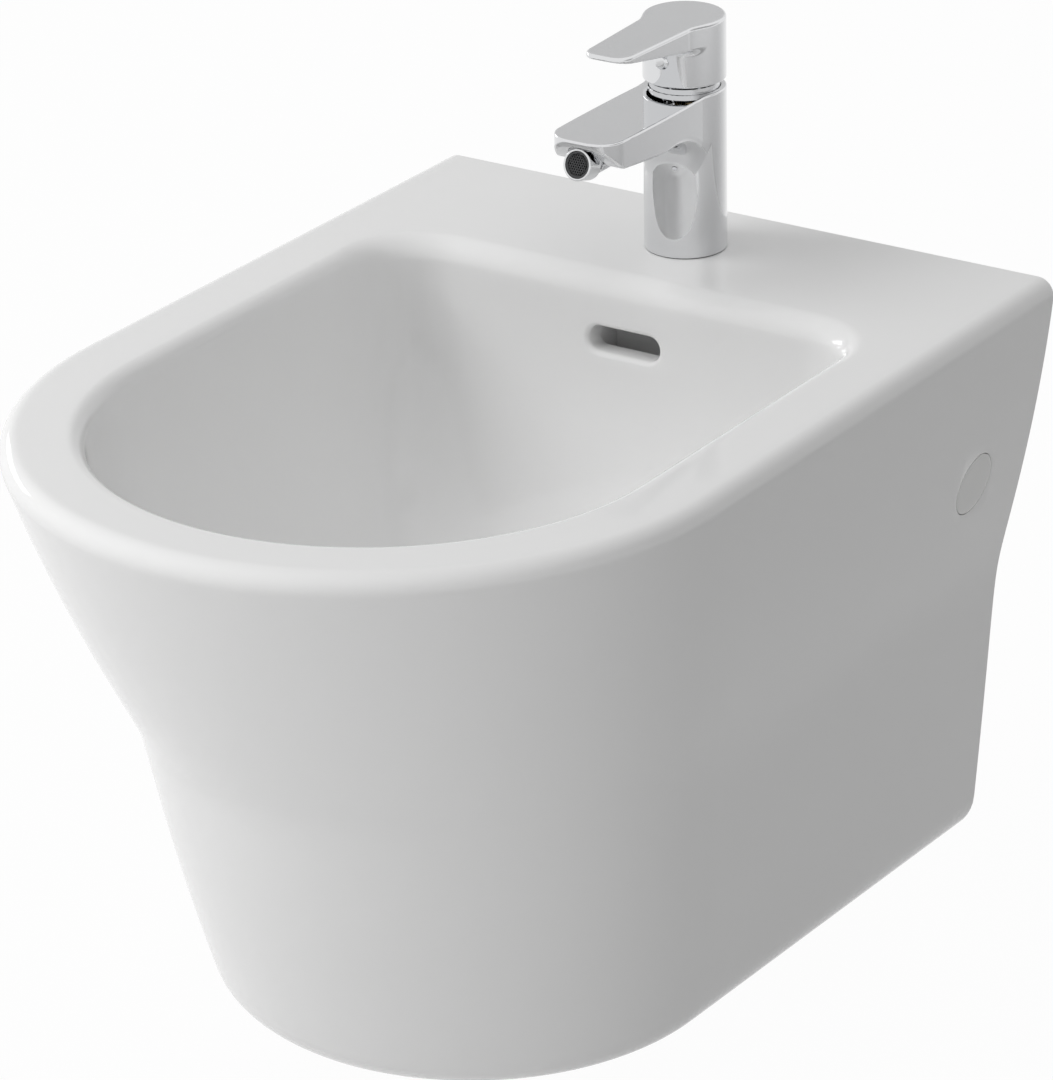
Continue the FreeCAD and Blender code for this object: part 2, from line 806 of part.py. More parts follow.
def make_sleeves_and_screws():
    sleeves = []
    screws = []
    for label, sign, turn in SIDES:
        at = (sign * bracket_outer, side_y, 0)
        bore = s.screw_diameter + 2 * s.fit
        body_size = s.side_hole - 2 * s.fit
        recess = s.screw_head + 2 * s.fit
        flange_end = sleeve_flange_end - bracket_outer
        profile = [
            (bore, 0),
            (s.sleeve_flange, 0),
            (s.sleeve_flange, flange_end),
            (body_size, flange_end),
            (body_size, sleeve_length),
            (recess, sleeve_length),
            (recess, head_seat),
            (bore, head_seat),
        ]
        sleeves.append(turned(f"sleeve_{label}", profile, at, turn))
        shape = [
            (0, -s.bracket_arm),
            (s.screw_diameter, -s.bracket_arm),
            (s.screw_diameter, head_seat),
            (s.screw_head, head_seat),
            (s.screw_head, head_seat + s.screw_head_height),
            (0, head_seat + s.screw_head_height),
        ]
        blank = turned(f"screw_{label}_blank", shape, at, turn)
        socket_at = (sign * (bracket_outer + head_seat + s.screw_head_height / 2), side_y, 0)
        socket = hexagon(f"socket_{label}", s.screw_socket, s.screw_head_height, socket_at, turn)
        screws.append(cut(f"screw_{label}", blank, socket))
    keep(group("side_sleeves", *sleeves), "side_sleeves")
    keep(group("side_screws", *screws), "side_screws")


def hexagon(name, width, height, at, turn="+z"):
    obj = doc.addObject("Part::Prism", name)
    obj.Polygon = 6
    bind(obj, "Circumradius", width / HEX)
    bind(obj, "Height", height)
    place(obj, at, turn)
    return obj


make_side_caps()
make_brackets()
make_sleeves_and_screws()


# Mixer body, with heights measured up from the deck

tap_radius = s.tap_diameter / 2
tap_foot = rim + s.base_seal_thickness
tap_top = rim + s.tap_top
tip_y = tap_y - s.spout_reach
nozzle_z = tap_top - s.nozzle_drop
boss_y = tap_y - s.boss_face
cartridge_floor = rim + s.cartridge_floor
cartridge_bore = s.cartridge_diameter + 2 * s.fit
stud_y = tap_y - s.stud_offset
inlet_y = tap_y + s.inlet_setback


def make_spout():
    """Flat-topped spout with an undercut tip and a flared root, within a rounded plan."""
    lip_z = tap_top - s.spout_lip
    root_z = tap_top - s.spout_root_drop
    flare_radius = tap_radius + s.horn_radius
    side = [
        (tap_y, tap_top),
        (tip_y, tap_top),
        (tip_y, lip_z),
        (tip_y + s.spout_undercut, lip_z - s.spout_undercut),
        (tap_y - flare_radius, root_z),
        (tap_y, root_z),
    ]
    side_body, _ = pad("spout_side", "YZ_Plane", side, s.spout_width)
    half = s.spout_width / 2
    plan = [(-half, tip_y), (half, tip_y), (half, tap_y), (-half, tap_y)]
    plan_body, plan_pad = pad("spout_plan", "XY_Plane", plan, s.tap_top, (0, 0, rim), False)
    corners = edges_where(plan_pad, lambda b: b.YMax < tip_y.value + NEAR and b.XLength < NEAR)
    round_edges(plan_body, "spout_corners", plan_pad, corners, s.spout_corner)
    flare_at = (0, tap_y, root_z - s.horn_radius)
    flare_blank = cylinder("flare_blank", 2 * flare_radius, s.horn_radius, flare_at)
    hollow = doc.addObject("Part::Torus", "flare_hollow")
    bind(hollow, "Radius1", flare_radius)
    bind(hollow, "Radius2", s.horn_radius)
    place(hollow, flare_at)
    flare = cut("flare", flare_blank, hollow)
    return common("spout", fuse("spout_stock", side_body, flare), plan_body)


def make_mixer_body():
    column = cylinder("column", s.tap_diameter, tap_top - tap_foot, (0, tap_y, tap_foot))
    boss = cylinder("nozzle_boss", s.nozzle_boss, s.boss_face - tap_radius, (0, boss_y, nozzle_z), "+y")
    stock = fuse("mixer_stock", column, make_spout(), boss)
    shank_bore = s.ball_shank + 2 * s.running_fit
    tools = [
        cylinder("cartridge_way", cartridge_bore, tap_top - cartridge_floor, (0, tap_y, cartridge_floor)),
        cylinder("nozzle_pocket", s.nozzle_pocket, s.nozzle_reach, (0, boss_y, nozzle_z), "-y"),
        cylinder("shank_way", shank_bore, s.shank_length + s.fit, (0, boss_y, nozzle_z), "+y"),
        cylinder("seal_way", s.neck_seal_diameter, s.neck_seal_depth, (0, boss_y, nozzle_z), "+y"),
        cylinder("spout_way", s.water_channel, s.boss_face - tap_radius, (0, boss_y, nozzle_z), "+y"),
        cylinder("stud_way", s.stud_diameter + 2 * s.screw_fit, s.stud_grip, (0, stud_y, tap_foot)),
    ]
    groove_foot = cartridge_floor - s.water_channel
    groove_top = nozzle_z + s.water_channel / 2
    groove_at = (0, tap_y - s.outlet_groove, groove_foot)
    tools.append(cylinder("outlet_groove", s.water_channel, groove_top - groove_foot, groove_at))
    for label, sign, _ in SIDES:
        at = (sign * s.inlet_offset, inlet_y, tap_foot)
        tools.append(cylinder(f"inlet_{label}", s.inlet_thread, s.inlet_depth, at))
        tools.append(cylinder(f"inlet_way_{label}", s.port_bore, cartridge_floor - tap_foot, at))
    keep(cut("mixer_body", stock, *tools), "mixer_body")


def make_mixer_fixing():
    seal = ring("base_seal", s.base_seal_diameter, s.tap_hole, rim, tap_foot, (0, tap_y, 0))
    keep(seal, "base_seal")
    stud_foot = tap_foot + s.stud_grip - s.stud_length
    keep(cylinder("fixing_stud", s.stud_diameter, s.stud_length, (0, stud_y, stud_foot)), "fixing_stud")
    gasket_foot = rim - s.deck_thickness - s.clamp_gasket_thickness
    plate_foot = gasket_foot - s.clamp_plate_thickness
    nut_foot = plate_foot - s.clamp_nut_height
    hole = s.stud_diameter + 2 * s.fit
    clamps = (
        ("clamp_gasket", gasket_foot, s.clamp_gasket_thickness),
        ("clamp_plate", plate_foot, s.clamp_plate_thickness),
    )
    for label, level, thickness in clamps:
        blank = cylinder(f"{label}_blank", s.clamp_diameter, thickness, (0, tap_y, level))
        half = s.clamp_slot / 2
        slot_low = (-half, tap_y - s.clamp_slot_start, level)
        slot = box(f"{label}_slot", slot_low, (half, tap_y + s.clamp_diameter, level + thickness))
        stud_hole = cylinder(f"{label}_hole", hole, thickness, (0, stud_y, level))
        keep(cut(label, blank, slot, stud_hole), label)
    nut = hexagon("clamp_nut_blank", s.clamp_nut_width, s.clamp_nut_height, (0, stud_y, nut_foot))
    thread_size = s.stud_diameter + 2 * s.screw_fit
    thread = cylinder("clamp_nut_thread", thread_size, s.clamp_nut_height, (0, stud_y, nut_foot))
    keep(cut("clamp_nut", nut, thread), "clamp_nut")


make_mixer_body()
make_mixer_fixing()


# Ceramic-disc cartridge

base_low = cartridge_floor + s.port_seal
base_high = base_low + s.base_thickness
disc_low = base_high + s.disc_thickness
moving_low = disc_low + s.running_fit
moving_high = moving_low + s.disc_thickness
housing_top = rim + s.housing_top
roof_low = housing_top - s.housing_roof
flange_high = roof_low - s.fit
flange_low = flange_high - s.block_flange_height
pivot_z = rim + s.pivot_height
ball_z = pivot_z - s.stem_arm
PORTS = (
    ("hot", -s.inlet_offset, inlet_y),
    ("cold", s.inlet_offset, inlet_y),
    ("outlet", 0, tap_y - s.outlet_setback),
)


def port_ways(name, low, high):
    return [cylinder(f"{name}_{label}", s.port_bore, high - low, (x, y, low)) for label, x, y in PORTS]


def make_cartridge():
    axis = (0, tap_y, 0)
    base = disc("base_blank", s.cartridge_diameter, base_low, base_high, axis)
    keep(cut("cartridge_base", base, *port_ways("base", base_low, base_high)), "cartridge_base")
    seals = []
    for label, x, y in PORTS:
        at = (x, y, 0)
        seals.append(ring(f"seal_{label}", s.port_seal_diameter, s.port_bore, cartridge_floor, base_low, at))
    keep(group("port_seals", *seals), "port_seals")
    fixed = disc("fixed_blank", s.fixed_disc_diameter, base_high, disc_low, axis)
    keep(cut("fixed_disc", fixed, *port_ways("fixed", base_high, disc_low)), "fixed_disc")
    moving = disc("moving_blank", s.moving_disc_diameter, moving_low, moving_high, axis)
    slot = s.port_bore / 2
    chamber_low = (-slot, tap_y - s.outlet_setback, moving_low)
    chamber = box("moving_chamber", chamber_low, (slot, tap_y + slot, moving_high - s.disc_thickness / 2))
    keep(cut("moving_disc", moving, chamber), "moving_disc")
    make_carrier(axis)
    inner = s.cartridge_diameter - 2 * s.cartridge_wall
    hole = s.block_neck + 2 * s.fit
    shell = [
        (inner, base_high),
        (s.cartridge_diameter, base_high),
        (s.cartridge_diameter, housing_top),
        (hole, housing_top),
        (hole, roof_low),
        (inner, roof_low),
    ]
    keep(turned("cartridge_housing", shell, axis), "cartridge_housing")
    make_turning_block(axis)
    nut_top = housing_top + s.nut_height
    nut_size = cartridge_bore - 2 * s.screw_fit
    nut = ring("cartridge_nut", nut_size, hole + 2 * s.fit, housing_top, nut_top, axis)
    keep(nut, "cartridge_nut")
    cover_top = tap_top + s.cover_height
    cover_ledge = cover_top - s.cover_thickness
    cover_inner = s.cover_diameter - 2 * s.cover_thickness
    cover = [
        (cover_inner, tap_top),
        (s.cover_diameter, tap_top),
        (s.cover_diameter, cover_ledge),
        (cover_inner, cover_top),
        (s.cover_bore, cover_top),
        (s.cover_bore, cover_ledge),
        (cover_inner, cover_ledge),
    ]
    keep(turned("cover_ring", cover, axis), "cover_ring")


def make_carrier(axis):
    carrier_top = flange_low - s.fit
    blank = disc("carrier_blank", s.moving_disc_diameter, moving_high, carrier_top, axis)
    reach = s.stem_ball / 2 + s.fit
    slot_foot = moving_high + s.carrier_floor
    slot = box("carrier_slot", (-reach, tap_y - reach, slot_foot), (reach, tap_y + reach, carrier_top))
    relief = box("carrier_relief", (-reach, tap_y, ball_z), (reach, tap_y + s.carrier_relief, carrier_top))
    keep(cut("disc_carrier", blank, slot, relief), "disc_carrier")


def make_turning_block(axis):
    block_top = rim + s.block_top
    profile = [
        (0, flange_low),
        (s.block_flange, flange_low),
        (s.block_flange, flange_high),
        (s.block_neck, flange_high),
        (s.block_neck, block_top),
        (0, block_top),
    ]
    blank = turned("block_blank", profile, axis)
    half = s.stem_width / 2 + s.fit
    slot_low = (-half, tap_y - s.stem_slot_front, flange_low)
    slot = box("block_slot", slot_low, (half, tap_y + s.stem_slot_rear, block_top))
    hole_at = (-s.block_neck / 2, tap_y, pivot_z)
    pin_hole = cylinder("block_pin_hole", s.pivot_pin + 2 * s.running_fit, s.block_neck, hole_at, "+x")
    keep(cut("turning_block", blank, slot, pin_hole), "turning_block")
    pin = cylinder("pivot_pin", s.pivot_pin, s.pin_length, (-s.pin_length / 2, tap_y, pivot_z), "+x")
    keep(pin, "pivot_pin")


make_cartridge()


# Lever handle and its stem

handle_foot = tap_top + s.handle_gap
handle_rear = tap_y + tap_radius + s.fit
handle_front = tap_y - tap_radius - s.fit
lever_tip = tap_y - s.lever_reach
stem_top = rim + s.handle_roof_under
index_z = rim + s.index_height


def handle_top_at(y):
    """Height of the sloping top of the handle at a distance from the wall."""
    slope = (s.handle_top - s.handle_tip_top) / (handle_rear - lever_tip)
    return rim + s.handle_top - slope * (handle_rear - y)


def make_lever_handle():
    skirt_side = [
        (handle_rear, handle_top_at(handle_rear)),
        (handle_front, handle_top_at(handle_front)),
        (handle_front, handle_foot),
        (tap_y + s.relief_start, handle_foot),
        (handle_rear, handle_foot + s.relief_rise),
    ]
    skirt_profile, _ = pad("skirt_side", "YZ_Plane", skirt_side, s.tap_diameter + 2 * s.fit)
    drum = cylinder("skirt_drum", s.tap_diameter, s.handle_top, (0, tap_y, rim))
    tip_under = rim + s.handle_tip_top - s.handle_tip_thickness
    lever_side = [
        (tap_y, handle_top_at(tap_y)),
        (lever_tip, handle_top_at(lever_tip)),
        (lever_tip, tip_under),
        (handle_front, rim + s.handle_root_under),
        (tap_y, rim + s.handle_root_under),
    ]
    lever_profile, _ = pad("lever_side", "YZ_Plane", lever_side, s.lever_width)
    half = s.lever_width / 2
    plan = [(-half, lever_tip), (half, lever_tip), (half, tap_y), (-half, tap_y)]
    plan_body, plan_pad = pad("lever_plan", "XY_Plane", plan, s.handle_top, (0, 0, rim), False)
    corners = edges_where(plan_pad, lambda b: b.YMax < lever_tip.value + NEAR and b.XLength < NEAR)
    round_edges(plan_body, "lever_corners", plan_pad, corners, s.lever_corner)
    skirt = common("skirt", drum, skirt_profile)
    lever = common("lever", plan_body, lever_profile)
    stock = fuse("handle_stock", skirt, lever)
    inner = s.tap_diameter - 2 * s.handle_wall
    hub_height = s.handle_roof_under - s.hub_bottom
    cavity_height = rim + s.handle_roof_under - tap_top
    cavity = cut(
        "handle_cavity",
        cylinder("cavity_drum", inner, cavity_height, (0, tap_y, tap_top)),
        cylinder("cavity_hub", s.hub_diameter, hub_height, (0, tap_y, rim + s.hub_bottom)),
    )
    reach = s.stem_width / 2 + s.screw_fit
    socket_low = (-reach, tap_y - reach, rim + s.hub_bottom)
    socket = box("stem_socket", socket_low, (reach, tap_y + reach, stem_top + s.fit))
    hub_radius = s.hub_diameter / 2
    grub_size = s.grub_diameter + 2 * s.screw_fit
    grub_hole = cylinder("grub_hole", grub_size, hub_radius, (0, tap_y, index_z), "-y")
    plug_at = (0, tap_y - hub_radius, index_z)
    plug_size = s.index_stem + 2 * s.screw_fit
    plug_hole = cylinder("index_hole", plug_size, tap_radius - hub_radius, plug_at, "-y")
    keep(cut("lever_handle", stock, cavity, socket, grub_hole, plug_hole), "lever_handle")


def make_lever_fittings():
    half = s.stem_width / 2
    bar_foot = pivot_z - s.stem_bar_drop
    bar = box("stem_bar", (-half, tap_y - half, bar_foot), (half, tap_y + half, stem_top))
    rod = cylinder("stem_rod", s.stem_rod, bar_foot - ball_z, (0, tap_y, ball_z))
    ball = doc.addObject("Part::Sphere", "stem_ball")
    bind(ball, "Radius", s.stem_ball / 2)
    place(ball, (0, tap_y, ball_z))
    pin_size = s.pivot_pin + 2 * s.running_fit
    pin_hole = cylinder("stem_pin_hole", pin_size, s.stem_width, (-half, tap_y, pivot_z), "+x")
    keep(cut("lever_stem", fuse("stem_stock", bar, rod, ball), pin_hole), "lever_stem")
    grub = cylinder("grub_blank", s.grub_diameter, s.grub_length, (0, tap_y - half, index_z), "-y")
    socket_at = (0, tap_y - half - s.grub_length / 2, index_z)
    socket = hexagon("grub_socket", s.grub_diameter / 2, s.grub_length, socket_at, "-y")
    keep(cut("grub_screw", grub, socket), "grub_screw")
    plug = [
        (0, -s.handle_wall),
        (s.index_stem, -s.handle_wall),
        (s.index_stem, 0),
        (s.index_diameter, 0),
        (s.index_diameter, s.index_dome / 2),
        (s.index_crown, s.index_dome),
        (0, s.index_dome),
    ]
    keep(turned("index_plug", plug, (0, tap_y - tap_radius, index_z), "-y"), "index_plug")


make_lever_handle()
make_lever_fittings()


# Ball-jointed nozzle

nozzle_at = (0, tap_y - s.nozzle_reach, nozzle_z)
nozzle_turn = Rotation(Vector(1, 0, 0), 90 - s.nozzle_lift.value)
INNER_HOLES = 6
OUTER_HOLES = 12


def ball_space(name):
    """Hollow sphere that the swivel ball turns in."""
    space = doc.addObject("Part::Sphere", name)
    bind(space, "Radius", s.ball_diameter / 2 + s.fit)
    place(space, nozzle_at)
    return space


def make_nozzle_ball():
    ball = doc.addObject("Part::Sphere", "ball_blank")
    bind(ball, "Radius", s.ball_diameter / 2)
    place(ball, nozzle_at)
    neck_length = s.nozzle_reach - s.boss_face
    neck = cylinder("ball_neck", s.ball_neck, neck_length, nozzle_at, "+y")
    shank = cylinder("ball_shank", s.ball_shank, s.shank_length, (0, boss_y, nozzle_z), "+y")
    half = s.ball_diameter / 2
    flat_y = nozzle_at[1] - s.ball_flat
    flat = box("ball_flat", (-half, flat_y - half, nozzle_z - half), (half, flat_y, nozzle_z + half))
    bore_at = (0, nozzle_at[1] - half, nozzle_z)
    bore = cylinder("ball_bore", s.ball_bore, half + neck_length + s.shank_length, bore_at, "+y")
    keep(cut("nozzle_ball", fuse("ball_stock", ball, neck, shank), flat, bore), "nozzle_ball")
    seal_bore = s.ball_shank + 2 * s.fit
    seal_at = (0, boss_y, nozzle_z)
    seal = ring("neck_seal", s.neck_seal_diameter, seal_bore, 0, s.neck_seal_depth, seal_at, "+y")
    keep(seal, "neck_seal")


def make_nozzle():
    barrel = disc("barrel_blank", s.barrel_diameter, -s.barrel_rear, s.barrel_front, nozzle_at, nozzle_turn)
    bore = disc("barrel_way", s.barrel_bore, s.seat_start, s.barrel_front, nozzle_at, nozzle_turn)
    keep(cut("nozzle_barrel", barrel, ball_space("barrel_ball_space"), bore), "nozzle_barrel")
    loose = s.barrel_bore - 2 * s.screw_fit
    seat = disc("seat_blank", loose, s.seat_start, s.seat_end, nozzle_at, nozzle_turn)
    keep(cut("ball_seat", seat, ball_space("seat_ball_space")), "ball_seat")
    washer_end = s.seat_end + s.washer_thickness
    washer = ring("aerator_washer", loose, s.washer_bore, s.seat_end, washer_end, nozzle_at, nozzle_turn)
    keep(washer, "aerator_washer")
    make_insert(loose, washer_end)


def make_insert(diameter, low):
    """Aerator insert: a disc with a centre hole and two rings of holes."""
    body = new_body("aerator_insert", nozzle_at, nozzle_turn)
    add_round(body, "insert_disc", diameter, s.insert_thickness, (0, 0, low))
    cut_round(body, "insert_centre", s.insert_hole, s.insert_thickness, (0, 0, low))
    vertical = [item for item in body.Origin.OriginFeatures if item.Role == "Z_Axis"][0]
    rings = (("inner", s.insert_inner_ring, INNER_HOLES), ("outer", s.insert_outer_ring, OUTER_HOLES))
    for label, radius, count in rings:
        hole = cut_round(body, f"insert_{label}", s.insert_hole, s.insert_thickness, (radius, 0, low))
        doc.recompute()
        pattern = body.newObject("PartDesign::PolarPattern", f"insert_{label}_ring")
        pattern.Originals = [hole]
        pattern.Axis = (vertical, [""])
        pattern.Angle = 360
        pattern.Occurrences = count
        body.Tip = pattern
    keep(body, "aerator_insert")


make_nozzle_ball()
make_nozzle()


# Waste and push-open plug

seal_foot = bowl_floor - s.waste_recess
flange_foot = seal_foot + s.flange_seal_thickness
flange_top = flange_foot + s.flange_thickness
guide_top = flange_top - s.guide_drop
plug_foot = flange_top + s.plug_lift
collar_top = plug_foot - s.plug_collar_drop
collar_foot = collar_top - s.plug_collar_height


def make_waste():
    axis = (0, waste_y, 0)
    tail_foot = flange_top - s.tail_length
    spigot_top = tail_foot + s.spigot_length
    profile = [
        (s.tail_bore, tail_foot),
        (s.spigot_diameter, tail_foot),
        (s.spigot_diameter, spigot_top),
        (s.tail_diameter, spigot_top),
        (s.tail_diameter, flange_foot),
        (s.flange_diameter, flange_foot),
        (s.flange_diameter, flange_top),
        (s.tail_bore, flange_top),
    ]
    tube = turned("waste_tube", profile, axis)
    half = s.tail_slot_width / 2
    reach = s.waste_hole / 2
    slot_top = duct_foot + s.duct_depth
    slots = (
        box("waste_slot_across", (-reach, waste_y - half, duct_foot), (reach, waste_y + half, slot_top)),
        box("waste_slot_along", (-half, waste_y - reach, duct_foot), (half, waste_y + reach, slot_top)),
    )
    slotted = cut("slotted_tube", tube, *slots)
    bar = s.guide_width / 2
    span_half = (s.tail_bore + s.tail_diameter) / 4
    guide_foot = guide_top - s.guide_height
    bars = (
        box("guide_across", (-span_half, waste_y - bar, guide_foot), (span_half, waste_y + bar, guide_top)),
        box("guide_along", (-bar, waste_y - span_half, guide_foot), (bar, waste_y + span_half, guide_top)),
    )
    hub = cylinder("guide_hub", s.guide_hub, s.guide_height, (0, waste_y, guide_foot))
    stock = fuse("waste_stock", slotted, hub, *bars)
    hole = cylinder("guide_hole", s.plug_stem + 2 * s.fit, s.guide_height, (0, waste_y, guide_foot))
    keep(cut("waste_body", stock, hole), "waste_body")
    seal = ring("flange_seal", s.flange_diameter, s.flange_seal_bore, seal_foot, flange_foot, axis)
    keep(seal, "flange_seal")
    gasket_foot = boss_foot - s.waste_gasket_height
    nut_foot = gasket_foot - s.waste_nut_height
    tail_fit = s.tail_diameter + 2 * s.screw_fit
    gasket = ring("waste_gasket", s.waste_gasket_diameter, tail_fit, gasket_foot, boss_foot, axis)
    keep(gasket, "waste_gasket")
    nut = hexagon("waste_nut_blank", s.waste_nut_width, s.waste_nut_height, (0, waste_y, nut_foot))
    thread = cylinder("waste_nut_thread", tail_fit, s.waste_nut_height, (0, waste_y, nut_foot))
    keep(cut("waste_nut", nut, thread), "waste_nut")


def make_plug():
    axis = (0, waste_y, 0)
    edge_top = plug_foot + s.plug_edge
    cap = [
        (0, plug_foot),
        (s.plug_diameter, plug_foot),
        (s.plug_diameter, edge_top),
        (s.plug_shoulder_diameter, edge_top + s.plug_shoulder),
        (0, edge_top + s.plug_crown),
    ]
    keep(turned("plug_cap", cap, axis), "plug_cap")
    seal_low = plug_foot - s.plug_seal_height
    keep(ring("plug_seal", s.plug_seal_diameter, s.plug_collar, seal_low, plug_foot, axis), "plug_seal")
    stem_foot = plug_foot - s.plug_stem_length
    stem = [
        (0, stem_foot),
        (s.plug_stem, stem_foot),
        (s.plug_stem, collar_foot),
        (s.plug_collar, collar_foot),
        (s.plug_collar, plug_foot),
        (0, plug_foot),
    ]
    keep(turned("plug_stem", stem, axis), "plug_stem")
    make_plug_spring()


def make_plug_spring():
    height = collar_foot - guide_top - s.spring_wire
    at = (0, waste_y, guide_top + s.spring_wire / 2)
    helix = doc.addObject("Part::Helix", "spring_line")
    bind(helix, "Radius", s.spring_diameter / 2)
    bind(helix, "Height", height)
    bind(helix, "Pitch", height / s.spring_turns)
    place(helix, at)
    wire = doc.addObject("Part::Circle", "spring_section")
    bind(wire, "Radius", s.spring_wire / 2)
    place(wire, (s.spring_diameter / 2, waste_y, at[2]), "-y")
    spring = doc.addObject("Part::Sweep", "plug_spring")
    spring.Sections = [wire]
    spring.Spine = (helix, ["Edge1"])
    spring.Solid = True
    spring.Frenet = True
    keep(spring, "plug_spring")


make_waste()
make_plug()


# Check every object, then write one file for each piece

doc.recompute()
for obj in doc.Objects:
    if {"Invalid", "Error"} & set(obj.State):
        raise RuntimeError(f"{obj.Name} failed: {obj.State}")
for piece in pieces:
    if piece.Shape.isNull() or not piece.Shape.isValid():
        raise RuntimeError(f"{piece.Label} has no valid shape")
os.makedirs("parts", exist_ok=True)
for piece in pieces:
    piece.Shape.exportStep(os.path.join("parts", f"{piece.Label}.step"))
print(len(pieces), "pieces written")
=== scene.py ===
import json
import math

import bpy
import numpy as np
from bpy.props import FloatProperty, FloatVectorProperty, PointerProperty
from bpy.types import Operator, Panel, PropertyGroup
from mathutils import Matrix, Vector


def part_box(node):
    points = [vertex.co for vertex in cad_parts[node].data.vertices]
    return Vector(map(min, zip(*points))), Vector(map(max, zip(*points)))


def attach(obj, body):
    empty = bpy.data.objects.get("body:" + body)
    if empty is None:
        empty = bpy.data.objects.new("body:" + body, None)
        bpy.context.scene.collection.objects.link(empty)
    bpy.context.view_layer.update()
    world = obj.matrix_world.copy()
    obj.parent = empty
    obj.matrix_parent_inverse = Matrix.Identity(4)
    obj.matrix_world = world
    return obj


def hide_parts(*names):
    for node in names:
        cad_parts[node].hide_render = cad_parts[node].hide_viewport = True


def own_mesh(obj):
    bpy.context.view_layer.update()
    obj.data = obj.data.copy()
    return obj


bl_info = {
    "name": "Wall-hung bidet with mixer",
    "version": (1, 0, 0),
    "blender": (4, 5, 0),
    "location": "3D View > Sidebar > Bidet",
    "description": "Glazed bowl, chrome single-lever mixer, waste and fixings of a wall-hung bidet",
    "category": "Object",
}

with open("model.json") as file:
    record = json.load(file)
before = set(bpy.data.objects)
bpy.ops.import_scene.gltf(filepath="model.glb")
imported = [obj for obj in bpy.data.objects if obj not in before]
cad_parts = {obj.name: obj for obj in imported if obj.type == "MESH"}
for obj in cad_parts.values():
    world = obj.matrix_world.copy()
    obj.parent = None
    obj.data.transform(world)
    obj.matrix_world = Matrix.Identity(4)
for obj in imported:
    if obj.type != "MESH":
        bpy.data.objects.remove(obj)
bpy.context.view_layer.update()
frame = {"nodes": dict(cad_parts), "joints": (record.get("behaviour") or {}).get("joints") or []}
JOINTS = {joint["name"]: joint for joint in frame["joints"]}

# All shapes are worked out in millimetres and written in metres.
MM = 0.001
RIM_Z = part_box("bidet_body")[1].z / MM
TAP_Y = JOINTS["handle_swing"]["pos_m"][1] / MM
NOZZLE_AT = np.array(JOINTS["nozzle_turn"]["pos_m"]) / MM
WASTE_Y = (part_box("plug_cap")[0].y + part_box("plug_cap")[1].y) / 2 / MM

# Shell levels: drop below the rim, half width at the wall, radius of the front, depth from the wall.
SHELL_LEVELS = (
    (0.0, 196.3, 196.3, 534.3),
    (85.0, 183.5, 182.5, 498.0),
    (171.0, 163.0, 161.0, 452.0),
    (257.0, 157.0, 152.0, 431.0),
    (344.0, 149.5, 140.5, 403.0),
)
SHELL_DROP = SHELL_LEVELS[-1][0]

# Bowl levels: drop below the rim, half width, rear and front from the wall, corner radius.
BOWL_LEVELS = (
    (0.0, 150.0, 117.0, 490.0, 38.0),
    (33.0, 147.0, 119.0, 485.3, 38.0),
    (65.0, 142.0, 122.5, 477.0, 38.0),
    (100.0, 130.5, 133.0, 456.0, 38.0),
    (130.0, 113.0, 150.0, 428.0, 39.0),
    (148.0, 91.0, 173.0, 389.0, 41.0),
    (157.0, 68.0, 198.0, 350.0, 43.0),
    (160.0, 47.0, 224.0, 320.0, 42.0),
    (160.2, 34.5, 237.5, 306.5, 34.5),
)
BOWL_DROP = BOWL_LEVELS[-1][0]

# Drop at which the bowl's wall turns into its floor, and the points on the curve through the levels.
BOWL_TURN = 146.0
CURVE_POINTS = 4000

# Lip of the bowl: depth and number of the outlines that it starts from, the one that gives the wall's lean,
# and where the round below the tap blends into the round of the sides.
LIP_DEPTH = 40.0
LIP_TABLE = 60
LEAN_ROW = 20
REAR_LIP_END = 165.0
REAR_LIP_BLEND = 42.0

# Recess and hole for the waste: radius and drop below the rim.
WASTE_SEAT = ((33.3, 160.4), (32.7, 161.2), (32.6, 164.0), (23.2, 164.2), (22.5, 165.0), (22.5, 206.0))

# Floor opening: half width, rear and front from the wall, corner radius.
FLOOR_OPENING = (90.0, 24.0, 344.0, 14.0)

# Columns round the ceramic: the sides and front, the straight back, and the part of a side near the wall.
SIDE_COLUMNS = 296
HALF_BACK = 44
RING_COLUMNS = SIDE_COLUMNS + 2 * HALF_BACK
NEAR_WALL = 60

# Rows: spacing on the sides and the bowl's wall and on the bowl's floor, number across the foot and the deck.
ROW_STEP = 4.5
FLOOR_STEP = 2.6
FOOT_ROWS = 6
DECK_ROWS = 15

# Stretch of the sides that gives their lean at the rim and the foot, and how many radii of those rounds
# the even rows keep off.
LEAN_SPAN = 12.0
CLEAR_OF_FOOT = 1.25
CLEAR_OF_RIM = 1.7

# Cells of the net left open to each side of the middle of a hole.
CAP_CELLS = 5
SLOT_ROWS = 3
SLOT_COLUMNS = 10

# Wall left behind the sides of a hole.
HOLE_WALL = 3.0

# Edge of a side hole: how far outside its radius, and how deep, each ring lies.
HOLE_EDGE = ((0.5, 0.0), (0.15, 0.12), (0.0, 0.5), (0.0, 7.0))

# Side cover: how far inside its radius, and how deep, its flat face ends and each ring of its edge lies.
COVER_FACE = (0.6, -0.04)
COVER_EDGE = ((0.3, 0.02), (0.1, 0.18), (0.0, 0.5), (0.0, 3.5))
COVER_RINGS = 9
COVER_SEGMENTS = 96

# Depths of the rings behind the overflow slot's edge.
SLOT_DEPTHS = (6.0, 12.0)

# Overflow duct: half width inside and outside, drop of its top and foot, how far each wall passes the one
# before, and the round of its edges.
DUCT_INSIDE = 22.5
DUCT_OUTSIDE = 30.2
DUCT_TOP = 8.0
DUCT_FOOT = 204.0
DUCT_LAP = 0.3
DUCT_ROUND = 3.0

